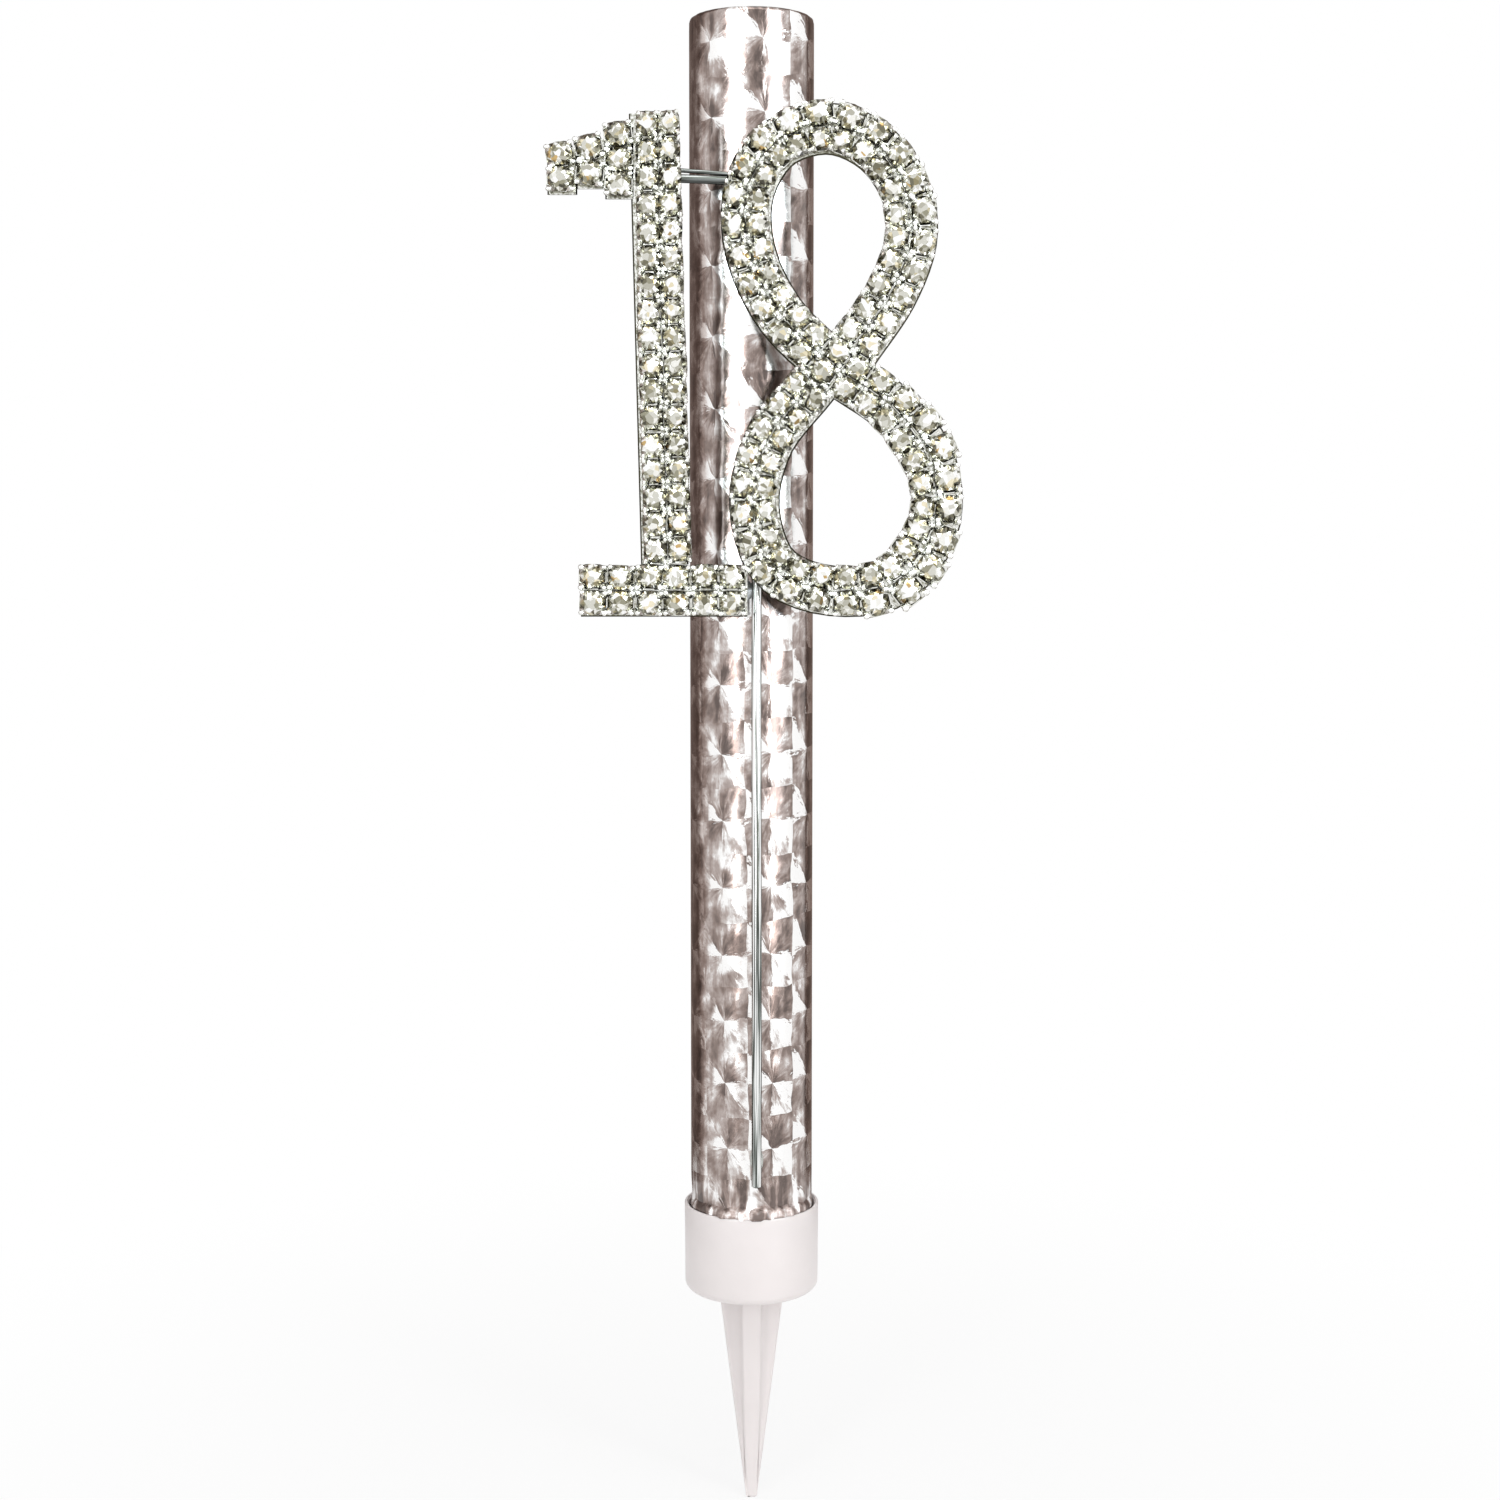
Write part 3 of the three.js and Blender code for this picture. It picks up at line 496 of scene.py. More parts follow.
def finish_piece(made, material, body, replaced, smooth=None):
    """Gives a piece its material, its smooth faces up to an angle in degrees, its body and nodes."""
    made.data.materials.clear()
    made.data.materials.append(material)
    if smooth is not None:
        made.data.shade_smooth()
        made.data.set_sharp_from_angle(angle=math.radians(smooth))
    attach(made, body)
    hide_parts(*replaced)


def joined(parts):
    """One list of points and faces from several."""
    vertices = []
    faces = []
    for points, polygons in parts:
        start = len(vertices)
        vertices.extend(points)
        faces.extend([[start + i for i in polygon] for polygon in polygons])
    return vertices, faces


def loft(rings, caps=True):
    """Points and faces of a skin over closed rings of equally many points."""
    count = len(rings[0])
    vertices = [tuple(p) for ring in rings for p in ring]
    faces = []
    for r in range(len(rings) - 1):
        for i in range(count):
            j = (i + 1) % count
            a = r * count
            faces.append([a + i, a + j, a + count + j, a + count + i])
    if caps:
        faces.append(list(reversed(range(count))))
        faces.append([(len(rings) - 1) * count + i for i in range(count)])
    return vertices, faces


def turned(profile, sides, warp=None):
    """A closed solid of revolution from (radius, height) points that go once round the section."""
    rings = []
    for step in range(sides):
        angle = TAU * step / sides
        ring = []
        for radius, height in profile:
            r, z = warp(angle, radius, height) if warp else (radius, height)
            ring.append((r * math.cos(angle), r * math.sin(angle), z))
        rings.append(ring)
    rings.append(rings[0])
    return loft(rings, caps=False)


def arc(centre_r, centre_z, radius, start, end, steps):
    """Points of an arc between two angles in degrees."""
    points = []
    for i in range(steps + 1):
        angle = math.radians(start + (end - start) * i / steps)
        points.append((centre_r + radius * math.cos(angle), centre_z + radius * math.sin(angle)))
    return points


def tube_along(points, radii, sides):
    """A round tube through points, with a radius at each."""
    path = [Vector(p) for p in points]
    last = len(path) - 1
    ahead = [(path[min(i + 1, last)] - path[max(i - 1, 0)]).normalized() for i in range(len(path))]
    side = ahead[0].orthogonal().normalized()
    rings = []
    for point, direction, radius in zip(path, ahead, radii):
        side = (side - direction * side.dot(direction)).normalized()
        other = direction.cross(side)
        turns = [TAU * i / sides for i in range(sides)]
        rings.append([point + radius * (math.cos(turn) * side + math.sin(turn) * other) for turn in turns])
    return loft(rings)


def union(name, parts):
    """The mesh of several closed parts joined into one solid."""
    objects = [placed(f"{name}_{i}", clean_mesh(f"{name}_{i}", *part)) for i, part in enumerate(parts)]
    whole = objects[0]
    for other in objects[1:]:
        cut = whole.modifiers.new("join", "BOOLEAN")
        cut.operation = "UNION"
        cut.solver = "EXACT"
        cut.object = other
    graph = bpy.context.evaluated_depsgraph_get()
    data = bpy.data.meshes.new_from_object(whole.evaluated_get(graph))
    data.name = name
    for other in objects:
        bpy.data.objects.remove(other)
    return data


# The number's lines and seats, as the model has them, in millimetres

EIGHT_LINE = [
    (11.75, 113.4), (16.3, 120.2), (18.4, 126.4), (17.6, 131.7), (14.2, 136.4), (8.9, 138.6), (3.1, 136.9),
    (-0.2, 131.7), (-0.2, 125.0), (3.2, 117.7), (10.0, 111.2), (16.2, 106.8), (20.8, 100.4), (21.1, 93.2),
    (16.4, 86.8), (8.2, 86.0), (2.6, 88.7), (0.35, 95.4), (1.9, 102.8), (7.3, 109.8),
]
EIGHT_PITCH = 3.13
SHORTEST_CUP = 2.6
LONGEST_CUP = 3.7
LINE_STEPS = 200
LEAN = math.radians(1.35)
UPRIGHT = {"rows": 17, "pitch": 3.03}
FOOT = {"columns": 6, "pitch": 3.22}
# Each column of the flag, from the upright outwards, has its stones, its depth under the top and its pitch
FLAG_COLUMNS = ((3, 5.5, 2.8), (2, 5.6, 2.95), (2, 6.4, 2.8))
FLAG = {"pitch": 3.32, "half": 1.5, "shift": 0.65}
RUN_GAP = 0.1
PLATE_MARGIN = 0.35
STRIP_THICK = 0.3
# Where the outer row of the 8 splays outwards: x, z, by how much, and the square of the reach
SPLAYS = ((18.6, 88.0, 0.55, 42.0), (18.7, 103.2, 0.48, 26.0))
# How far along its line the 8 is cut, so that no part meets itself at the crossing
EIGHT_CUTS = (0.0, 0.3, 0.62, 1.0)


def line_point(share):
    """A point of the 8's line: a centripetal spline through its points."""
    points = [Vector(p) for p in EIGHT_LINE]
    place = (len(points) - 1) * share
    index = min(int(place), len(points) - 2)
    t = place - index
    p1 = points[index]
    p2 = points[index + 1]
    p0 = points[index - 1] if index else 2 * p1 - p2
    p3 = points[index + 2] if index + 2 < len(points) else 2 * p2 - p1
    d0 = (p1 - p0).length ** 0.5
    d1 = (p2 - p1).length ** 0.5
    d2 = (p3 - p2).length ** 0.5
    m1 = ((p1 - p0) / d0 - (p2 - p0) / (d0 + d1) + (p2 - p1) / d1) * d1
    m2 = ((p2 - p1) / d1 - (p3 - p1) / (d1 + d2) + (p3 - p2) / d2) * d1
    return (p1 + m1 * t + (3 * (p2 - p1) - 2 * m1 - m2) * t * t
            + (2 * (p1 - p2) + m1 + m2) * t * t * t)


def eight_stations(shares):
    """Points and directions at shares of the 8's length, and that length."""
    dense = [line_point(i / LINE_STEPS) for i in range(LINE_STEPS + 1)]
    lengths = [0.0]
    for a, b in zip(dense, dense[1:]):
        lengths.append(lengths[-1] + (b - a).length)
    stations = []
    for share in shares:
        target = share * lengths[-1]
        index = max(i for i in range(LINE_STEPS) if lengths[i] <= target + 1e-9)
        part = (target - lengths[index]) / (lengths[index + 1] - lengths[index])
        t = (index + part) / LINE_STEPS
        ahead = line_point(min(t + 1e-4, 1.0)) - line_point(max(t - 1e-4, 0.0))
        stations.append((line_point(t), ahead.normalized()))
    return stations, lengths[-1]


def one_start():
    """Half a strip's width, the foot's left end, the upright's lower end and the way up along it."""
    low, high = [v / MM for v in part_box("one_foot_strip")]
    half = (high.z - low.z) / 2
    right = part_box("one_upright_strip")[1].x / MM
    start = Vector((right - half * math.cos(LEAN), high.z + RUN_GAP))
    return half, Vector((low.x, (low.z + high.z) / 2)), start, Vector((-math.sin(LEAN), math.cos(LEAN)))


def pair(point, direction, row, length, rows=2):
    """Seats across a run: (x, z, turn, length, width) in millimetres and radians."""
    turn = math.atan2(direction.y, direction.x)
    across = Vector((-direction.y, direction.x))
    seats = []
    for i in range(rows):
        place = point + across * (i - (rows - 1) / 2) * row
        seats.append((place.x, place.y, turn, length, row))
    return seats


def one_seats(row):
    """Every seat of the 1's three strips, by the strip's node."""
    half, left, start, up = one_start()
    seats = {"one_foot_strip": [], "one_upright_strip": [], "one_flag_strip": []}
    for i in range(FOOT["columns"]):
        point = left + Vector(((i + 0.5) * FOOT["pitch"], 0.0))
        seats["one_foot_strip"].extend(pair(point, Vector((1, 0)), row * 1.02, FOOT["pitch"]))
    for i in range(UPRIGHT["rows"]):
        # The left row closes in towards the top, beside the flag
        wide = row * (0.97 - 0.12 * (i / (UPRIGHT["rows"] - 1)) ** 3)
        point = start + up * (i + 0.5) * UPRIGHT["pitch"] + Vector((0.97 * row - wide, 0.0)) / 2
        seats["one_upright_strip"].extend(pair(point, up, wide, UPRIGHT["pitch"]))
    top = start + up * UPRIGHT["rows"] * UPRIGHT["pitch"]
    for column, (stones, drop, step) in enumerate(FLAG_COLUMNS):
        z = top.y - drop
        edge = start.x - (z - start.y) * math.tan(LEAN) - half - RUN_GAP
        point = Vector((edge + FLAG["shift"] - FLAG["half"] - column * FLAG["pitch"], z))
        for i, seat in enumerate(pair(point, Vector((1, 0)), step, FLAG["pitch"], stones)):
            # The flag rises towards the upright along its top alone
            slope = -0.05 + 0.25 * (i / (stones - 1)) ** 1.5
            seats["one_flag_strip"].append((*seat[:2], seat[2] + slope, *seat[3:]))
    return seats


def eight_seats(row):
    """Every seat of the 8's strip."""
    seats = []
    count = round(eight_stations([0.0])[1] / EIGHT_PITCH)
    stations = eight_stations([(i + 0.5) / count for i in range(count)])[0]
    for i, (point, direction) in enumerate(stations):
        before = stations[max(i - 1, 0)][1]
        after = stations[min(i + 1, count - 1)][1]
        bend = before.angle_signed(after) / (2 if 0 < i < count - 1 else 1)
        # The rows were pressed closer on the left than on the right, where the inner one gives way
        wide = row * (0.95 + 0.12 * bounded(point.x / 20))
        inward = Vector((-direction.y, direction.x)) * (0.5 if i < count / 2 else -0.5)
        splay = 0.0
        for x, z, most, reach in SPLAYS:
            splay += most * max(0.0, 1 - ((point.x - x) ** 2 + (point.y - z) ** 2) / reach)
        point = point + inward * (max(wide - row, 0.0) - splay)
        wide += splay
        for side, seat in zip((-0.5, 0.5), pair(point, direction, wide, 0.0)):
            local = min(max(EIGHT_PITCH + side * row * bend, SHORTEST_CUP), LONGEST_CUP)
            seats.append((*seat[:3], local, wide))
    return seats


def set_seats(row):
    """The seats as the strips were really pressed: a little askew, and off their base strips' middles."""
    rng = random.Random(188)
    askew = {}
    up = 0.14
    for node, seats in {**one_seats(row), "eight_strip": eight_seats(row)}.items():
        aside = 0.38 if node == "one_upright_strip" else -0.13
        askew[node] = [(x + aside + rng.uniform(-0.06, 0.06), z + up + rng.uniform(-0.06, 0.06),
                        turn + rng.uniform(-0.07, 0.07), length * rng.uniform(0.97, 1.01), width)
                       for x, z, turn, length, width in seats]
    return askew


def seat_place(seat, back):
    """Where a seat's own X, Z and height above its strip go in the model."""
    x, z, turn = seat[:3]
    return (Matrix.Translation((x * MM, back, z * MM)) @ Matrix.Rotation(-turn, 4, "Y")
            @ Matrix.Rotation(math.radians(90), 4, "X"))


def rounded_square(half, angle, power=5):
    """A point of a rounded square at an angle from its middle."""
    c = math.cos(angle)
    s = math.sin(angle)
    reach = half / (abs(c) ** power + abs(s) ** power) ** (1 / power)
    return reach * c, reach * s


CUP_POINTS = 32
BEAD_POINTS = 12
GIRDLE_HEIGHT = 1.0


def claw_cup(look, rng):
    """One square cup whose four corners rise into claws that bend in over the stone."""
    cup = look.cup / 2
    foot = look.foot / 2
    sizes = []
    for i in range(CUP_POINTS):
        angle = TAU * i / CUP_POINTS
        claw = max(0.0, -math.cos(4 * angle)) ** 1.6
        rise = (0.82 + 0.72 * claw + rng.uniform(-0.04, 0.04)) * MM
        # Half sides and heights, up the outside, over the brim or the claw, and down the inside
        sizes.append((angle, [
            (foot, -0.05 * MM),
            (foot + 0.6 * (cup - foot), 0.45 * MM),
            (cup, 0.75 * MM),
            (cup - (0.01 + 0.14 * claw) * MM, rise),
            (cup - (0.06 + 0.34 * claw) * MM, rise + 0.2 * claw * MM),
            (cup - (0.12 + 0.46 * claw) * MM, rise + 0.04 * claw * MM),
            (cup - 0.14 * MM, 0.66 * MM),
            (foot - 0.14 * MM, 0.42 * MM),
        ]))
    rings = []
    for level in range(len(sizes[0][1])):
        rings.append([(*rounded_square(steps[level][0], angle), steps[level][1]) for angle, steps in sizes])
    parts = [loft(rings)]
    for i in range(4):
        # Each claw is pressed to a bead over the stone's edge
        x, y = rounded_square(cup - 0.08 * MM, TAU * (i + 0.5) / 4)
        parts.append(bead(x, y, rng.uniform(1.36, 1.46) * MM, rng.uniform(0.24, 0.3) * MM))
    return joined(parts)


def circle(radius, count, height, start=0.0, x=0.0, y=0.0):
    """Points of a level circle; the start is a share of one step."""
    turns = [TAU * (i + start) / count for i in range(count)]
    return [(x + radius * math.cos(turn), y + radius * math.sin(turn), height) for turn in turns]


def bead(x, y, height, radius):
    """A small ball with flat poles."""
    rings = []
    for rise in (-70, -35, 0, 35, 70):
        turn = math.radians(rise)
        level = height + radius * math.sin(turn)
        rings.append(circle(radius * math.cos(turn), BEAD_POINTS, level, 0.0, x, y))
    return loft(rings)


def cut_stone(look, rng):
    """A round stone: table, star, kite and girdle facets over a pointed back."""
    girdle = look.stone / 2
    table = look.table / 2
    lift = GIRDLE_HEIGHT * MM
    tilt = Matrix.Rotation(math.radians(rng.uniform(-5, 5)), 4, "X") @ Matrix.Rotation(
        math.radians(rng.uniform(-5, 5)), 4, "Y") @ Matrix.Rotation(rng.uniform(0, TAU), 4, "Z")
    # The table's corners, the kites' upper corners, both edges of the girdle and the point
    vertices = circle(table, 8, lift + 0.8 * MM)
    vertices += circle((table + girdle) / 2, 8, lift + 0.58 * MM, 0.5)
    vertices += circle(girdle, 16, lift + 0.12 * MM)
    vertices += circle(girdle, 16, lift)
    vertices.append((0.0, 0.0, 0.45 * MM))
    centre = Vector((0, 0, lift))
    vertices = [tuple(centre + tilt @ (Vector(v) - centre)) for v in vertices]
    faces = [list(range(8))]
    for i in range(8):
        j = (i + 1) % 8
        faces.append([i, 8 + i, j])
        faces.append([i, 8 + (i - 1) % 8, 16 + 2 * i, 8 + i])
        faces.append([8 + i, 16 + 2 * i, 16 + (2 * i + 1) % 16])
        faces.append([8 + i, 16 + (2 * i + 1) % 16, 16 + (2 * i + 2) % 16])
    for i in range(16):
        j = (i + 1) % 16
        faces.append([16 + i, 32 + i, 32 + j, 16 + j])
        faces.append([32 + i, 48, 32 + j])
    # A dark ring under the girdle fills the cup's mouth; it carries the painted shade of the cup's inside
    rings = []
    for height in (0.72, 0.86):
        ring = [rounded_square(look.cup / 2 - 0.05 * MM, TAU * i / 24) for i in range(24)]
        rings.append([(x, y, height * MM) for x, y in ring])
    return joined([(vertices, faces), loft(rings)])


def band(stations, half, back, front, edge=0.08):
    """A flat ribbon along stations in X and Z, between two depths in metres, its long edges eased."""
    ease = edge * MM
    flat = 1 - edge / half
    outline = ((1, back - ease), (1, front + ease), (flat, front), (-flat, front),
               (-1, front + ease), (-1, back - ease), (-flat, back), (flat, back))
    rings = []
    for point, direction in stations:
        across = Vector((-direction.y, direction.x))
        ring = []
        for side, depth in outline:
            place = (point + across * side * half) * MM
            ring.append((place.x, depth, place.y))
        rings.append(ring)
    return loft(rings)


def bands(runs, back, front, slip, edge):
    """Ribbons for runs of (stations, half a width), each a little past the last in depth."""
    return [band(line, half, back - slip * i, front + slip * i, edge)
            for i, (line, half) in enumerate(runs)]


def straight(start, end):
    """The two stations of a straight run."""
    ahead = (end - start).normalized()
    return [(start, ahead), (end, ahead)]


def eight_parts(reach=0.0):
    """Stations of the 8's line, cut in three, its ends reaching on by some millimetres."""
    steps = 32
    parts = []
    for first, last in zip(EIGHT_CUTS, EIGHT_CUTS[1:]):
        parts.append(eight_stations([first + (last - first) * i / steps for i in range(steps + 1)])[0])
    start, ahead = parts[0][0]
    parts[0][0] = (start - ahead * reach, ahead)
    end, ahead = parts[-1][-1]
    parts[-1][-1] = (end + ahead * reach, ahead)
    return parts


def one_lines(reach=0.0):
    """The upright's and the foot's end points and the flag's columns, as (x, low, high)."""
    seats = one_seats(bpy.context.scene.fountain_number.row / MM)
    half, left, start, up = one_start()
    columns = []
    first = 0
    for stones, drop, step in FLAG_COLUMNS:
        group = seats["one_flag_strip"][first:first + stones]
        first += stones
        centre = sum(s[1] for s in group) / stones
        columns.append((group[0][0], centre - stones * step / 2, centre + stones * step / 2))
    return {
        "half": half,
        "upright": (start - up * reach, start + up * UPRIGHT["rows"] * UPRIGHT["pitch"]),
        "foot": (left, left + Vector((FOOT["columns"] * FOOT["pitch"], 0.0))),
        "flag": columns,
    }


class FOUNTAIN_OT_holder(bpy.types.Operator):
    """Builds the moulded cup and its four-ribbed spike"""
    bl_idname = "fountain.holder"
    bl_label = "Holder"

    def execute(self, context):
        sizes = context.scene.fountain_holder
        low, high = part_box("spike_holder")
        radius = high.x
        corner = sizes.corner
        bore = radius - sizes.wall
        draft = 0.06 * MM
        lip = 0.2 * MM
        profile = [(0.0, 0.0)] + arc(radius - draft - corner, corner, corner, -90, 0, 10)
        profile += arc(radius - lip, high.z - lip, lip, 0, 110, 6)
        profile += [(bore, high.z - 0.25 * MM), (bore - draft, sizes.floor + 0.4 * MM),
                    (bore - 0.5 * MM, sizes.floor), (0.0, sizes.floor)]
        made = placed("holder", union("holder", [turned(profile, 160), self.spike(sizes, low.z)]))
        plastic = moulded_polystyrene(sizes.colour)
        finish_piece(made, plastic, "holder", ["spike_holder"], 34)
        return {"FINISHED"}

    def spike(self, sizes, bottom):
        """The cross-shaped spike, lofted from a fillet under the cup to its blunt tip."""
        # Heights under the cup's floor, each with the fillet's flare in millimetres
        fillet = 0.7 * MM
        levels = [(0.5 * MM, 0.55), (0.0, 0.5), (-0.15 * MM, 0.28), (-0.35 * MM, 0.12), (-fillet, 0.0)]
        steps = 12
        for i in range(1, steps + 1):
            levels.append((-fillet + (bottom + fillet) * i / steps, 0.0))
        rings = []
        for height, flare in levels:
            share = bounded(height / bottom)
            half = (sizes.root + (sizes.tip - sizes.root) * share) / 2 + flare * MM * 0.6
            rib = sizes.rib / 2 * (1 - 0.42 * share ** 2) + flare * MM * 0.6
            rings.append(self.cross(half, min(rib, half), height))
        # The tip is chamfered
        end = rings[-1]
        rings[-1] = [(x, y, z + 0.25 * MM) for x, y, z in end]
        rings.append([(x * 0.62, y * 0.62, bottom) for x, y, z in end])
        return loft(list(reversed(rings)))

    def cross(self, half, rib, height):
        """A cross section with rounded rib ends and filleted inner corners."""
        quarter = []
        end = min(0.35 * MM, rib * 0.6)
        for side, angles in ((-1, (-90, -60, -30, 0)), (1, (0, 30, 60, 90))):
            for turn in map(math.radians, angles):
                out = half - end + end * math.cos(turn)
                quarter.append((out, side * (rib - end) + end * math.sin(turn)))
        fillet = min(1.5 * MM, max(half - rib, 0.02 * MM) * 0.66)
        centre = rib + fillet
        for turn in map(math.radians, (270, 247, 225, 203, 180)):
            quarter.append((centre + fillet * math.cos(turn), centre + fillet * math.sin(turn)))
        points = []
        for c, s in ((1, 0), (0, 1), (-1, 0), (0, -1)):
            points.extend((x * c - y * s, x * s + y * c, height) for x, y in quarter)
        return points


class FOUNTAIN_OT_foil(bpy.types.Operator):
    """Wraps the card tube in holographic foil, rolled over its rim and creased at the cup"""
    bl_idname = "fountain.foil"
    bl_label = "Foil"

    def execute(self, context):
        look = context.scene.fountain_foil
        low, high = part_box("foil_wrap")
        radius = high.x
        bottom = low.z
        top = high.z
        edge = look.edge
        # The plug has this much play in the card tube's bore, along which the foil's lip lies
        play = 0.1 * MM
        lip_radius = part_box("base_plug")[1].x + play - 0.3 * MM
        lip_depth = 2.7 * MM
        folded_under = 3.9 * MM
        # Rings lie close at the cup and at the top, where the foil is creased and folded
        outer = [(radius - folded_under, bottom)] + arc(radius - edge, bottom + edge, edge, -90, 0, 6)
        outer += [(radius, bottom + edge + 0.25 * MM * i) for i in range(1, 60)]
        outer += [(radius, z * MM) for z in (30, 60, 90, 120)]
        outer += [(radius, top - edge - 0.5 * MM * i) for i in range(12, 0, -1)]
        outer += arc(radius - edge, top - edge, edge, 0, 90, 8)
        outer += arc(lip_radius + edge, top - edge, edge, 90, 180, 8)
        outer += [(lip_radius, top - 1.5 * MM), (lip_radius, top - lip_depth)]
        rng = random.Random(18)
        ridges = [(rng.uniform(0, TAU), rng.uniform(0.06, 0.2), rng.uniform(0.5, 1.0)) for i in range(26)]

        def warp(angle, r, z):
            return self.shaped(angle, r, z, radius, top, ridges, look.crease)

        wrap = turned(outer + self.inner_side(outer, look.thickness), 288, warp)
        foil = holographic_foil(look)
        mesh_piece("foil", [wrap, self.frill(radius)], foil, "tube", ["foil_wrap"], 50)
        return {"FINISHED"}

    def frill(self, radius):
        """The foil's torn edge where it was pushed into the cup: scraps that lap over the front rim."""
        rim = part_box("spike_holder")[1].z / MM
        wrap = radius / MM
        thin = 0.05
        steps = 360
        rings = []
        for i in range(steps):
            angle = TAU * i / steps
            spin = Vector((math.cos(angle), math.sin(angle), 0.0))
            ragged = noise.noise(spin * 6 + Vector((0, 0, 3)))
            ragged += 0.35 * noise.noise(spin * 12 + Vector((0, 0, 7)))
            front = max(0.0, -math.sin(angle)) ** 1.2
            lap = 0.03 + (0.86 + 0.45 * ragged) * front
            reach = min(max(lap, 0.02), 0.87)
            crest = rim + 0.15 + front * (0.7 + 0.5 * noise.noise(spin * 7 + Vector((0, 0, 1))))
            # Where a scrap reaches past the rim it hangs down outside
            lip = rim + 0.03 - min(1.2 * max(0.0, lap - 0.75), 0.2)
            crumple = 0.14 * noise.noise(spin * 18 + Vector((0, 0, 9))) * front
            section = (
                (-0.1, crest + 0.5), (reach * 0.3 + crumple * 0.5, crest + 0.25),
                (reach * 0.8, crest - 0.05 + crumple), (reach, lip + thin),
                (reach, lip), (reach * 0.8 - thin, crest - 0.1 - thin + crumple),
                (reach * 0.3 - thin + crumple * 0.5, crest + 0.15 - thin), (-0.1 - thin, crest + 0.3))
            rings.append([(r * math.cos(angle), r * math.sin(angle), z * MM)
                          for r, z in (((wrap + out) * MM, z) for out, z in section)])
        rings.append(rings[0])
        return loft(rings, caps=False)

    def inner_side(self, outer, thickness):
        """The profile's inner side, a foil's thickness in from the outer one, backwards."""
        back = []
        for i, (r, z) in enumerate(outer):
            before = Vector(outer[max(i - 1, 0)])
            after = Vector(outer[min(i + 1, len(outer) - 1)])
            ahead = (after - before).normalized()
            back.append((r - ahead.y * thickness, z + ahead.x * thickness))
        return back[::-1]

    def shaped(self, angle, r, z, radius, top, ridges, depth):
        """Draws the foil in where it was gathered into the cup, and pleats its lip in the bore."""
        rise = z / MM
        under = (top - z) / MM
        around = Vector((math.cos(angle), math.sin(angle), 0.0))
        swell = noise.noise(around * 2.1 + Vector((0.0, 0.0, rise * 0.25)))
        if r > radius * 0.9:
            # Gathered all round from 5 to 10.5 mm up, and less until 14.5 mm and down to 2 mm
            gather = bounded((14.5 - rise) / 4.0) if rise > 5 else bounded((rise - 2.0) / 3.0)
            gather = gather * gather * (3 - 2 * gather)
            crease = 0.0
            for place, width, strength in ridges:
                off = abs((angle - place + math.pi) % TAU - math.pi)
                crease = max(crease, strength * max(0.0, 1 - off / width))
            r += gather * depth * (crease * 1.1 - 0.75 + 0.35 * swell)
            # The paper's free edge overlaps at the back
            past = (angle - math.radians(90)) % TAU
            r += 0.14 * MM * max(0.0, 1 - past / 0.5)
            # It is tucked over the rim in small folds
            fold = noise.noise(around * 6 + Vector((0.0, 0.0, rise * 0.8)))
            r -= 0.13 * MM * abs(fold) * bounded(1 - under / 2.2)
        if r < radius * 0.75 and under < 4:
            pleat = math.sin(angle * 17 + 2 * swell) * 0.1 * MM
            r += pleat * bounded(under - 0.6)
        return r, z


class FOUNTAIN_OT_filling(bpy.types.Operator):
    """Finishes the card tube and what it holds"""
    bl_idname = "fountain.filling"
    bl_label = "Filling"

    def execute(self, context):
        card = wound_card()
        finishes = {
            "paper_tube": card,
            "lower_wad": card,
            "top_washer": card,
            "base_plug": pressed_powder("rammed_clay", "#b5ad9f", "#d3ccbf", 0.6),
            "charge": pressed_powder("pressed_grey_composition", "#5c5a57", "#7d7a75", 0.5),
            "prime_disc": pressed_powder("pressed_dark_prime", "#2b2a29", "#46433f", 0.4),
            "top_seal": sealing_tissue(),
            "fuse_root": lacquered_yarn(),
        }
        for name, material in finishes.items():
            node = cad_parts[name]
            node.data.materials.clear()
            node.data.materials.append(material)
        return {"FINISHED"}


class FOUNTAIN_OT_fuse(bpy.types.Operator):
    """Lays the fuse's free length, three threads twisted together, in the tube's recess"""
    bl_idname = "fountain.fuse"
    bl_label = "Fuse"

    def execute(self, context):
        low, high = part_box("fuse_tip")
        middle = (low.z + high.z) / 2
        radius = (high.z - low.z) / 2
        strand = radius * 0.56
        ring = radius - strand
        start = low.x + radius * 0.35
        run = high.x - start
        # The threads go once round in this length
        lay = 3.4 * MM
        steps = 60
        parts = []
        for index in range(3):
            points = []
            radii = []
            for i in range(steps + 1):
                share = i / steps
                angle = TAU * (index / 3 + share * run / lay)
                # They fan out a little at the cut end,
                spread = min(ring * (1 + 1.5 * max(0.0, share - 0.9)), radius - strand * 0.98)
                points.append((start + share * run, spread * math.cos(angle),
                               middle + spread * math.sin(angle)))
                # and taper at both ends
                radii.append(strand * (0.55 + 0.45 * min(1.0, share * 8, (1 - share) * 30 + 0.4)))
            parts.append(tube_along(points, radii, 14))
        mesh_piece("fuse", parts, lacquered_yarn(), "fuse", ["fuse_tip"], 60)
        return {"FINISHED"}


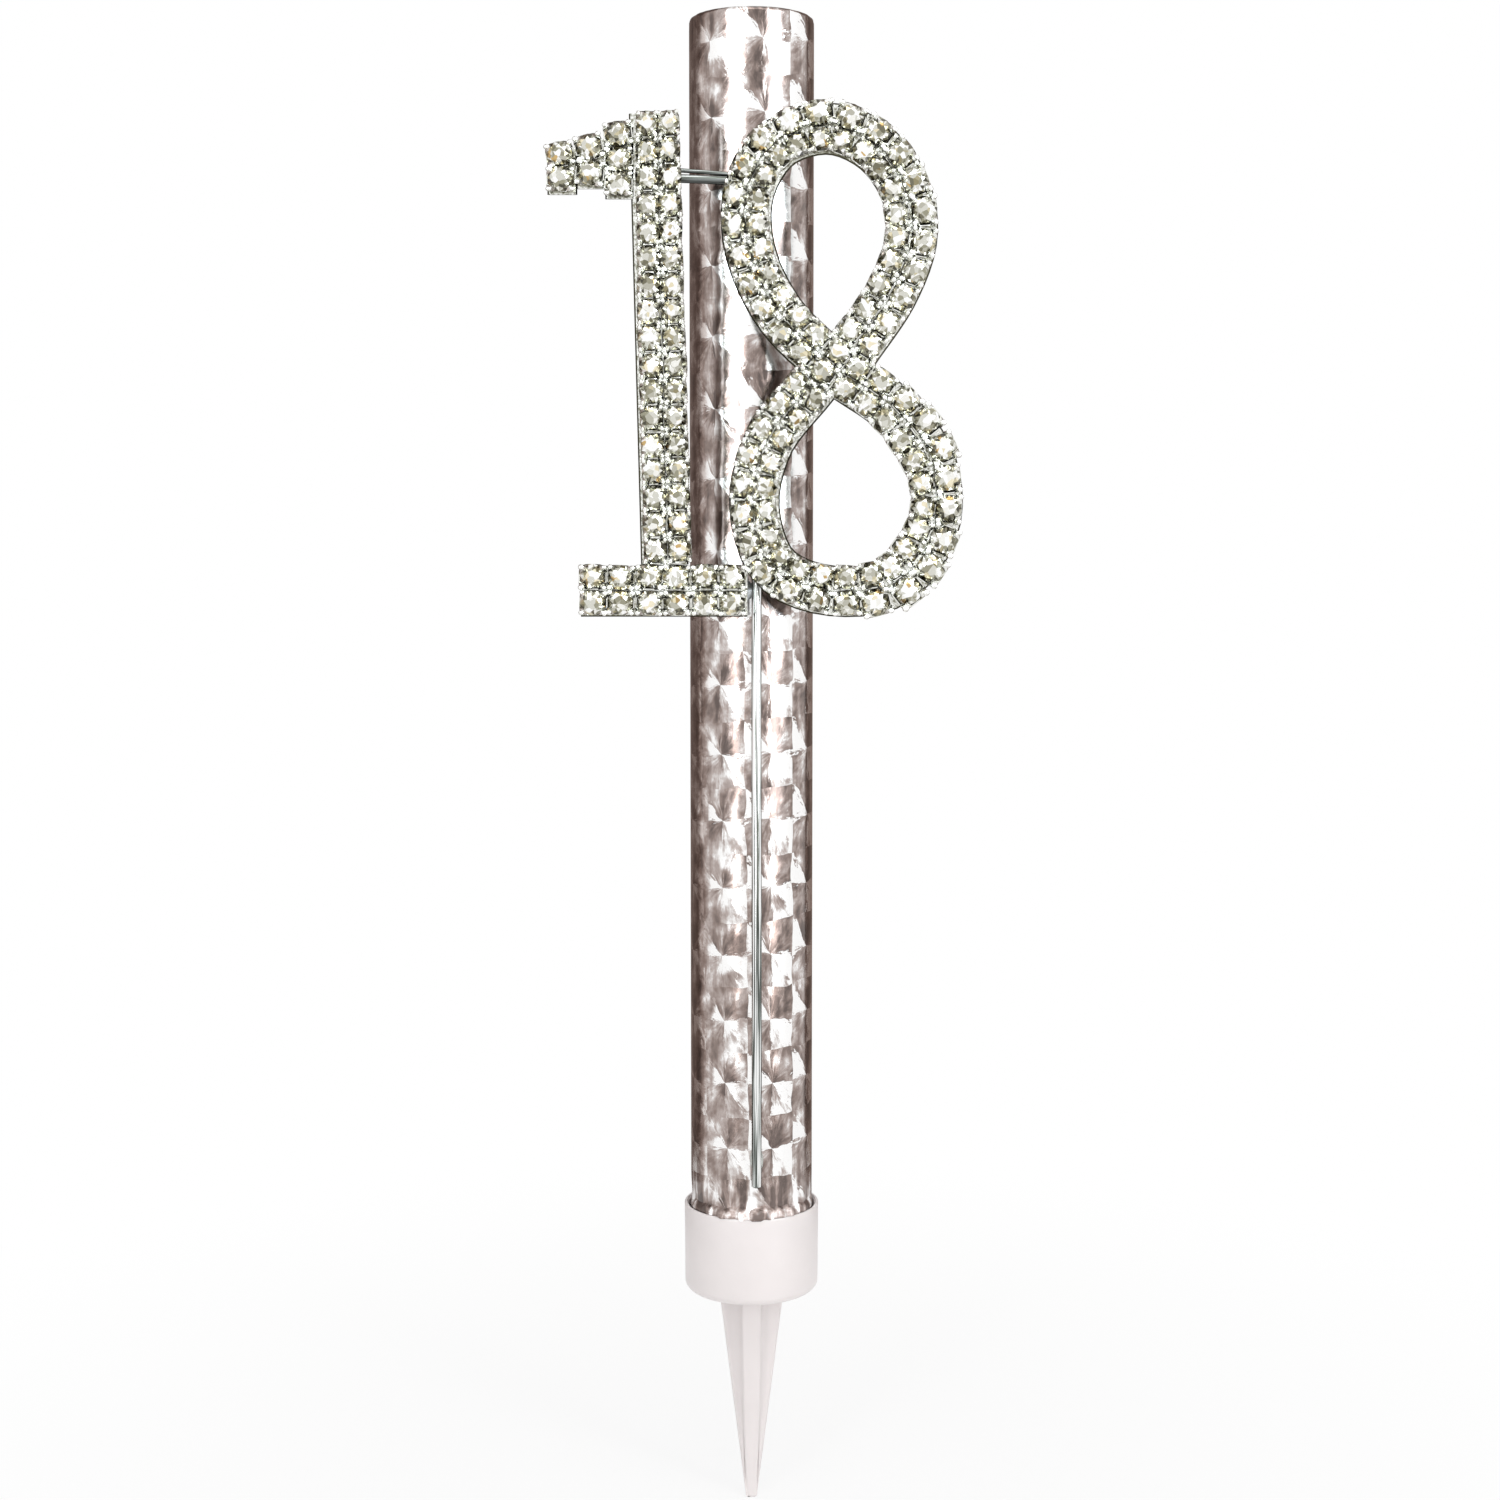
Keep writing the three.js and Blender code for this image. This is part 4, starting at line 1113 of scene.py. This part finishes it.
class FOUNTAIN_OT_wires(bpy.types.Operator):
    """Draws the stem that carries the number and the bridge between its numerals"""
    bl_idname = "fountain.wires"
    bl_label = "Wires"

    def execute(self, context):
        upright = drawn_steel("bright_drawn_steel", 2)
        # The bridge's steel has darker painted reflection tones and a painted shade on its underside
        level = drawn_steel("bridge_steel_painted_underside_shade", 0, ("#4c5048", "#787d78", "#a6aaa8"), 0.3, 0.35)
        mesh_piece("stem", [self.stem()], upright, "tube", ["stem_wire"], 40)
        mesh_piece("bridge", self.strands(), level, "tube", ["bridge_wire"], 40)
        return {"FINISHED"}

    def stem(self):
        """A hardly bent wire with chamfered ends."""
        low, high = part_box("stem_wire")
        radius = (high.x - low.x) / 2
        x = (low.x + high.x) / 2
        y = (low.y + high.y) / 2
        chamfer = 0.12 * MM
        count = 60
        points = [(x, y, low.z), (x, y, low.z + chamfer)]
        radii = [radius * 0.72, radius * 0.97]
        for i in range(1, count):
            z = low.z + (high.z - low.z) * i / count
            bend = 0.035 * MM * math.sin(z / (17 * MM)) * math.sin(math.pi * i / count)
            points.append((x + bend, y, z))
            radii.append(radius * (1 - 0.03 * abs(math.sin(z / (5 * MM)))))
        points += [(x, y, high.z - chamfer), (x, y, high.z)]
        radii += [radius * 0.97, radius * 0.75]
        return tube_along(points, radii, 28)

    def strands(self):
        """The bridge, a thin wire laid double and drawn as two lengths of unlike thickness."""
        low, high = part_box("bridge_wire")
        y = (low.y + high.y) / 2
        z = (low.z + high.z) / 2
        count = 24
        parts = []
        for rise, radius, step, tilt in ((0.24, 0.25, 0.1, 0.9), (-0.6, 0.5, -0.02, 0.5)):
            points = []
            for i in range(count + 1):
                share = i / count
                sag = rise + 0.06 * math.sin(math.pi * share) + tilt * (0.5 - share)
                points.append((low.x + (high.x - low.x) * share, y + step * MM, z + sag * MM))
            radii = [radius * 0.8 * MM] + [radius * MM] * (count - 1) + [radius * 0.8 * MM]
            parts.append(tube_along(points, radii, 16))
        return parts


class FOUNTAIN_OT_plates(bpy.types.Operator):
    """Stamps the numerals' back plates, with eased edges"""
    bl_idname = "fountain.plates"
    bl_label = "Back Plates"

    def execute(self, context):
        plated = stamped_plate()
        lines = one_lines(reach=2.0)
        half = lines["half"] - PLATE_MARGIN
        slip = 0.004 * MM
        edge = 0.12
        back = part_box("one_back_plate")[1].y
        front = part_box("one_back_plate")[0].y
        runs = [(straight(*lines["foot"]), half), (straight(*lines["upright"]), half)]
        for x, low, high in lines["flag"]:
            column = straight(Vector((x, low + PLATE_MARGIN)), Vector((x, high - PLATE_MARGIN)))
            runs.append((column, FLAG["half"]))
        # One level bar holds the flag's columns to the upright
        x, low, high = lines["flag"][0]
        level = (low + high) / 2 - 1.0
        bar = straight(Vector((lines["flag"][-1][0], level)), Vector((x + FLAG["pitch"], level)))
        runs.append((bar, FLAG["half"]))
        mesh_piece("one_plate", bands(runs, back, front, slip, edge), plated, "tube",
                   ["one_back_plate"], 30)
        runs = [(line, half) for line in eight_parts(reach=lines["half"])]
        mesh_piece("eight_plate", bands(runs, back, front, slip, edge), plated, "tube",
                   ["eight_back_plate"], 30)
        return {"FINISHED"}


class FOUNTAIN_OT_claw_cups(bpy.types.Operator):
    """Sets rows of claw cups on each numeral's base strips"""
    bl_idname = "fountain.claw_cups"
    bl_label = "Claw Cups"

    def execute(self, context):
        look = context.scene.fountain_number
        silver = plated_claws(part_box("eight_strip")[1].y - STRIP_THICK * MM)
        rng = random.Random(8)
        for node, seats in set_seats(look.row / MM).items():
            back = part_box(node)[1].y
            front = back - STRIP_THICK * MM
            parts = bands(self.runs(node), back, front, 0.002 * MM, 0.18)
            for seat in seats:
                # Each cup reaches its neighbours along the run
                place = seat_place(seat, front) @ Matrix.Diagonal(
                    (seat[3] * MM / look.cup, seat[4] * MM / look.row, 1.0, 1.0))
                points, polygons = claw_cup(look, rng)
                parts.append(([place @ Vector(p) for p in points], polygons))
            name = node.replace("_strip", "_claw_cups")
            mesh_piece(name, parts, silver, "tube", [node], 35)
        return {"FINISHED"}

    def runs(self, node):
        """The base strip under the cups, whose edge shows as a thin silver line beside them."""
        lines = one_lines()
        half = lines["half"]
        if node == "eight_strip":
            return [(line, half) for line in eight_parts()]
        if node == "one_upright_strip":
            # The cups overhang it on the right
            return [(straight(*lines["upright"]), half - 0.2)]
        if node == "one_foot_strip":
            return [(straight(*lines["foot"]), half)]
        return [(straight(Vector((x, low)), Vector((x, high - 0.3))), FLAG["pitch"] / 2 + 0.05)
                for x, low, high in lines["flag"]]


class FOUNTAIN_OT_stones(bpy.types.Operator):
    """Drops a cut stone into every claw cup"""
    bl_idname = "fountain.stones"
    bl_label = "Stones"

    def execute(self, context):
        look = context.scene.fountain_number
        crystal = cut_crystal(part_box("eight_strip")[1].y - STRIP_THICK * MM)
        rng = random.Random(88)
        for node, seats in set_seats(look.row / MM).items():
            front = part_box(node)[1].y - STRIP_THICK * MM
            parts = []
            for seat in seats:
                # Where the strip bends, a stretched cup shows a little more of its stone
                wide = 1.01 + 0.45 * (seat[3] * MM / look.cup - 1)
                # Every stone sits a little off its cup's middle
                aside = rng.uniform(-0.08, 0.03) * MM
                shift = Matrix.Translation((aside, 0.0, rng.uniform(0.0, 0.13) * MM))
                place = shift @ seat_place(seat, front) @ Matrix.Diagonal(
                    (wide, 0.5 * wide + 0.5 * seat[4] * MM / look.row, 1.0, 1.0))
                points, polygons = cut_stone(look, rng)
                parts.append(([place @ Vector(p) for p in points], polygons))
            mesh_piece(node.replace("_strip", "_stones"), parts, crystal, "tube", [node])
        return {"FINISHED"}


class FOUNTAIN_OT_joints(bpy.types.Operator):
    """Flows solder over the wire ends and glue between the stem and the foil"""
    bl_idname = "fountain.joints"
    bl_label = "Solder and Glue"

    def execute(self, context):
        solder = soft_solder()
        for node in ("solder_stem_eight", "solder_stem_foot", "solder_bridge_one", "solder_bridge_eight"):
            self.drop(node, solder, "solder")
        glue = clear_glue()
        for node in ("glue_dot_upper", "glue_dot_lower"):
            self.drop(node, glue, "glue", 0.62)
        return {"FINISHED"}

    def drop(self, node, material, slot, narrow=1.0):
        """A lumpy drop in the node's box."""
        low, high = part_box(node)
        centre = (low + high) / 2
        size = (high - low) / 2
        size.x *= narrow
        rings = []
        tall = 14
        wide = 28
        for i in range(tall + 1):
            rise = math.pi * (i / tall - 0.5)
            ring = []
            for j in range(wide):
                angle = TAU * j / wide
                flat = math.cos(rise)
                out = Vector((flat * math.cos(angle), math.sin(rise), flat * math.sin(angle)))
                lump = 1 + 0.06 * noise.noise(out * 2.3 + centre * 900) - 0.06
                ring.append(tuple(centre[k] + out[k] * size[k] * lump for k in range(3)))
            rings.append(ring)
        mesh_piece(node + "_drop", [loft(rings)], material, "tube", [node], 80)


class FOUNTAIN_OT_stage(bpy.types.Operator):
    """Sets the pale floor, soft lamps, grey-brown reflection cards and the camera"""
    bl_idname = "fountain.stage"
    bl_label = "Stage"

    def execute(self, context):
        scene = context.scene
        scene.view_settings.view_transform = "Standard"
        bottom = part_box("spike_holder")[0].z
        self.floor(bottom)
        self.world(scene)
        self.lamp("left_soft", -26, 0.62, 0.12, (0.09, 0.8), 1.0)
        self.lamp("right_soft", 42, 0.62, 0.12, (0.12, 0.8), 1.3)
        self.lamp("top_soft", 10, 0.35, 0.75, (0.5, 0.5), 1.6)
        # Two tall strips that only the shiny surfaces show, from the number upwards
        self.lamp("left_gleam", -31, 0.62, 0.33, (0.27, 0.5), 2.7, gleam=True)
        self.lamp("right_gleam", 45, 0.62, 0.30, (0.36, 0.56), 4.2, gleam=True)
        self.card("left_dark_card", -172, -108, "#6f5e57")
        self.card("left_grey_card", -108, -94, "#cbbfba")
        self.card("right_dark_card", 119, 172, "#7b685f")
        data = bpy.data.cameras.new("photo_camera")
        data.lens = 53.713
        data.sensor_width = 36.0
        data.shift_y = -0.035
        data.clip_start = 0.01
        data.clip_end = 20.0
        camera = placed("photo_camera", data)
        camera.location = (-0.000181, -0.270, 0.092977)
        camera.rotation_euler = (math.radians(90 - 4.3), 0.0, 0.0)
        scene.camera = camera
        return {"FINISHED"}

    def floor(self, bottom):
        """White paper that brightens into the white room away from the part."""
        made, tree, shader = blank("matt_white_paper", Roughness=0.9)
        shader.inputs["Base Color"].default_value = linear("#fbfbfb")
        place = add(tree, PLACES).outputs["Object"]
        far = add(tree, VECTOR, "LENGTH", [place]).outputs["Value"]
        fade = add(tree, RANGE, {"interpolation_type": "SMOOTHSTEP"}, (far, 0.02, 0.16, 0.82, 1.0))
        white = add(tree, "ShaderNodeEmission", links={"Color": (1, 1, 1, 1), "Strength": 1.0})
        share = add(tree, MATH, "MULTIPLY", (seen_white(tree), fade))
        mixed = add(tree, "ShaderNodeMixShader", links=(share, shader, white))
        output = [n for n in tree.nodes if n.type == "OUTPUT_MATERIAL"][0]
        tree.links.new(mixed.outputs[0], output.inputs["Surface"])
        reach = 4.0
        data = bpy.data.meshes.new("floor")
        corners = [(reach * x, reach * y, bottom) for x, y in ((-1, -1), (1, -1), (1, 1), (-1, 1))]
        data.from_pydata(corners, [], [[0, 1, 2, 3]])
        data.materials.append(made)
        placed("floor", data)

    def world(self, scene):
        """A white room: white where it is seen, softer where it only lights."""
        room = bpy.data.worlds.new("white_room")
        room.use_nodes = True
        tree = room.node_tree
        tree.nodes.clear()
        lighting = add(tree, "ShaderNodeBackground", links=(linear("#ffffff"), 0.55))
        white = add(tree, "ShaderNodeBackground", links=(linear("#ffffff"), 1.0))
        mixed = add(tree, "ShaderNodeMixShader", links=(seen_white(tree), lighting, white))
        add(tree, "ShaderNodeOutputWorld", links=[mixed])
        scene.world = room

    def lamp(self, name, azimuth, distance, height, size, power, gleam=False):
        """A soft rectangular lamp at an angle round the part; a gleam shows in shiny surfaces alone."""
        data = bpy.data.lights.new(name, "AREA")
        data.shape = "RECTANGLE"
        data.size, data.size_y = size
        data.energy = power
        if gleam:
            # A little cool, so that the warm foil still turns plain white in it
            data.color = (0.84, 0.935, 1.0)
        made = placed(name, data)
        turn = math.radians(azimuth)
        made.location = (distance * math.sin(turn), -distance * math.cos(turn), height)
        tube_middle = Vector((0, 0, 0.075))
        aim = tube_middle - made.location
        made.rotation_euler = aim.to_track_quat("-Z", "Y").to_euler()
        made.visible_diffuse = not gleam

    def card(self, name, start, end, colour):
        """A bent card round the part, seen only in its reflections, where it darkens shiny edges."""
        made, _, shader = blank(name + "_paper", Roughness=0.9)
        shader.inputs["Base Color"].default_value = (0.0, 0.0, 0.0, 1.0)
        shader.inputs["Emission Color"].default_value = linear(colour)
        shader.inputs["Emission Strength"].default_value = 1.0
        distance = 0.13
        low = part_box("spike_holder")[0].z + 0.5 * MM
        high = 0.4
        steps = 12
        points = []
        faces = []
        for i in range(steps + 1):
            turn = math.radians(start + (end - start) * i / steps)
            for z in (low, high):
                points.append((distance * math.sin(turn), -distance * math.cos(turn), z))
            if i:
                faces.append([2 * i - 2, 2 * i, 2 * i + 1, 2 * i - 1])
        data = bpy.data.meshes.new(name)
        data.from_pydata(points, [], faces)
        data.materials.append(made)
        sheet = placed(name, data)
        sheet.visible_camera = False
        sheet.visible_diffuse = False
        sheet.visible_shadow = False
        sheet.visible_transmission = False


class FOUNTAIN_PT_sidebar(bpy.types.Panel):
    """Lists the fountain's pieces and their sizes"""
    bl_idname = "FOUNTAIN_PT_sidebar"
    bl_label = "Cake Fountain"
    bl_space_type = "VIEW_3D"
    bl_region_type = "UI"
    bl_category = "Fountain"

    def draw(self, context):
        for name, kind in GROUPS.items():
            group = getattr(context.scene, name)
            box = self.layout.box()
            box.label(text=name.removeprefix("fountain_").capitalize())
            for key in kind.__annotations__:
                box.prop(group, key)
        for step in STEPS:
            self.layout.operator(step.bl_idname)


GROUPS = {
    "fountain_holder": FountainHolder,
    "fountain_foil": FountainFoil,
    "fountain_number": FountainNumber,
}
STEPS = [
    FOUNTAIN_OT_holder, FOUNTAIN_OT_foil, FOUNTAIN_OT_filling, FOUNTAIN_OT_fuse, FOUNTAIN_OT_wires,
    FOUNTAIN_OT_plates, FOUNTAIN_OT_claw_cups, FOUNTAIN_OT_stones, FOUNTAIN_OT_joints, FOUNTAIN_OT_stage,
]


def register():
    for kind in [*GROUPS.values(), *STEPS, FOUNTAIN_PT_sidebar]:
        bpy.utils.register_class(kind)
    for name, kind in GROUPS.items():
        setattr(bpy.types.Scene, name, bpy.props.PointerProperty(type=kind))


def unregister():
    for name in GROUPS:
        delattr(bpy.types.Scene, name)
    for kind in reversed([*GROUPS.values(), *STEPS, FOUNTAIN_PT_sidebar]):
        bpy.utils.unregister_class(kind)


def main():
    register()
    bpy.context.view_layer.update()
    bpy.ops.fountain.holder()
    bpy.ops.fountain.foil()
    bpy.ops.fountain.filling()
    bpy.ops.fountain.fuse()
    bpy.ops.fountain.wires()
    bpy.ops.fountain.plates()
    bpy.ops.fountain.claw_cups()
    bpy.ops.fountain.stones()
    bpy.ops.fountain.joints()
    bpy.ops.fountain.stage()


if __name__ == "__main__":
    main()
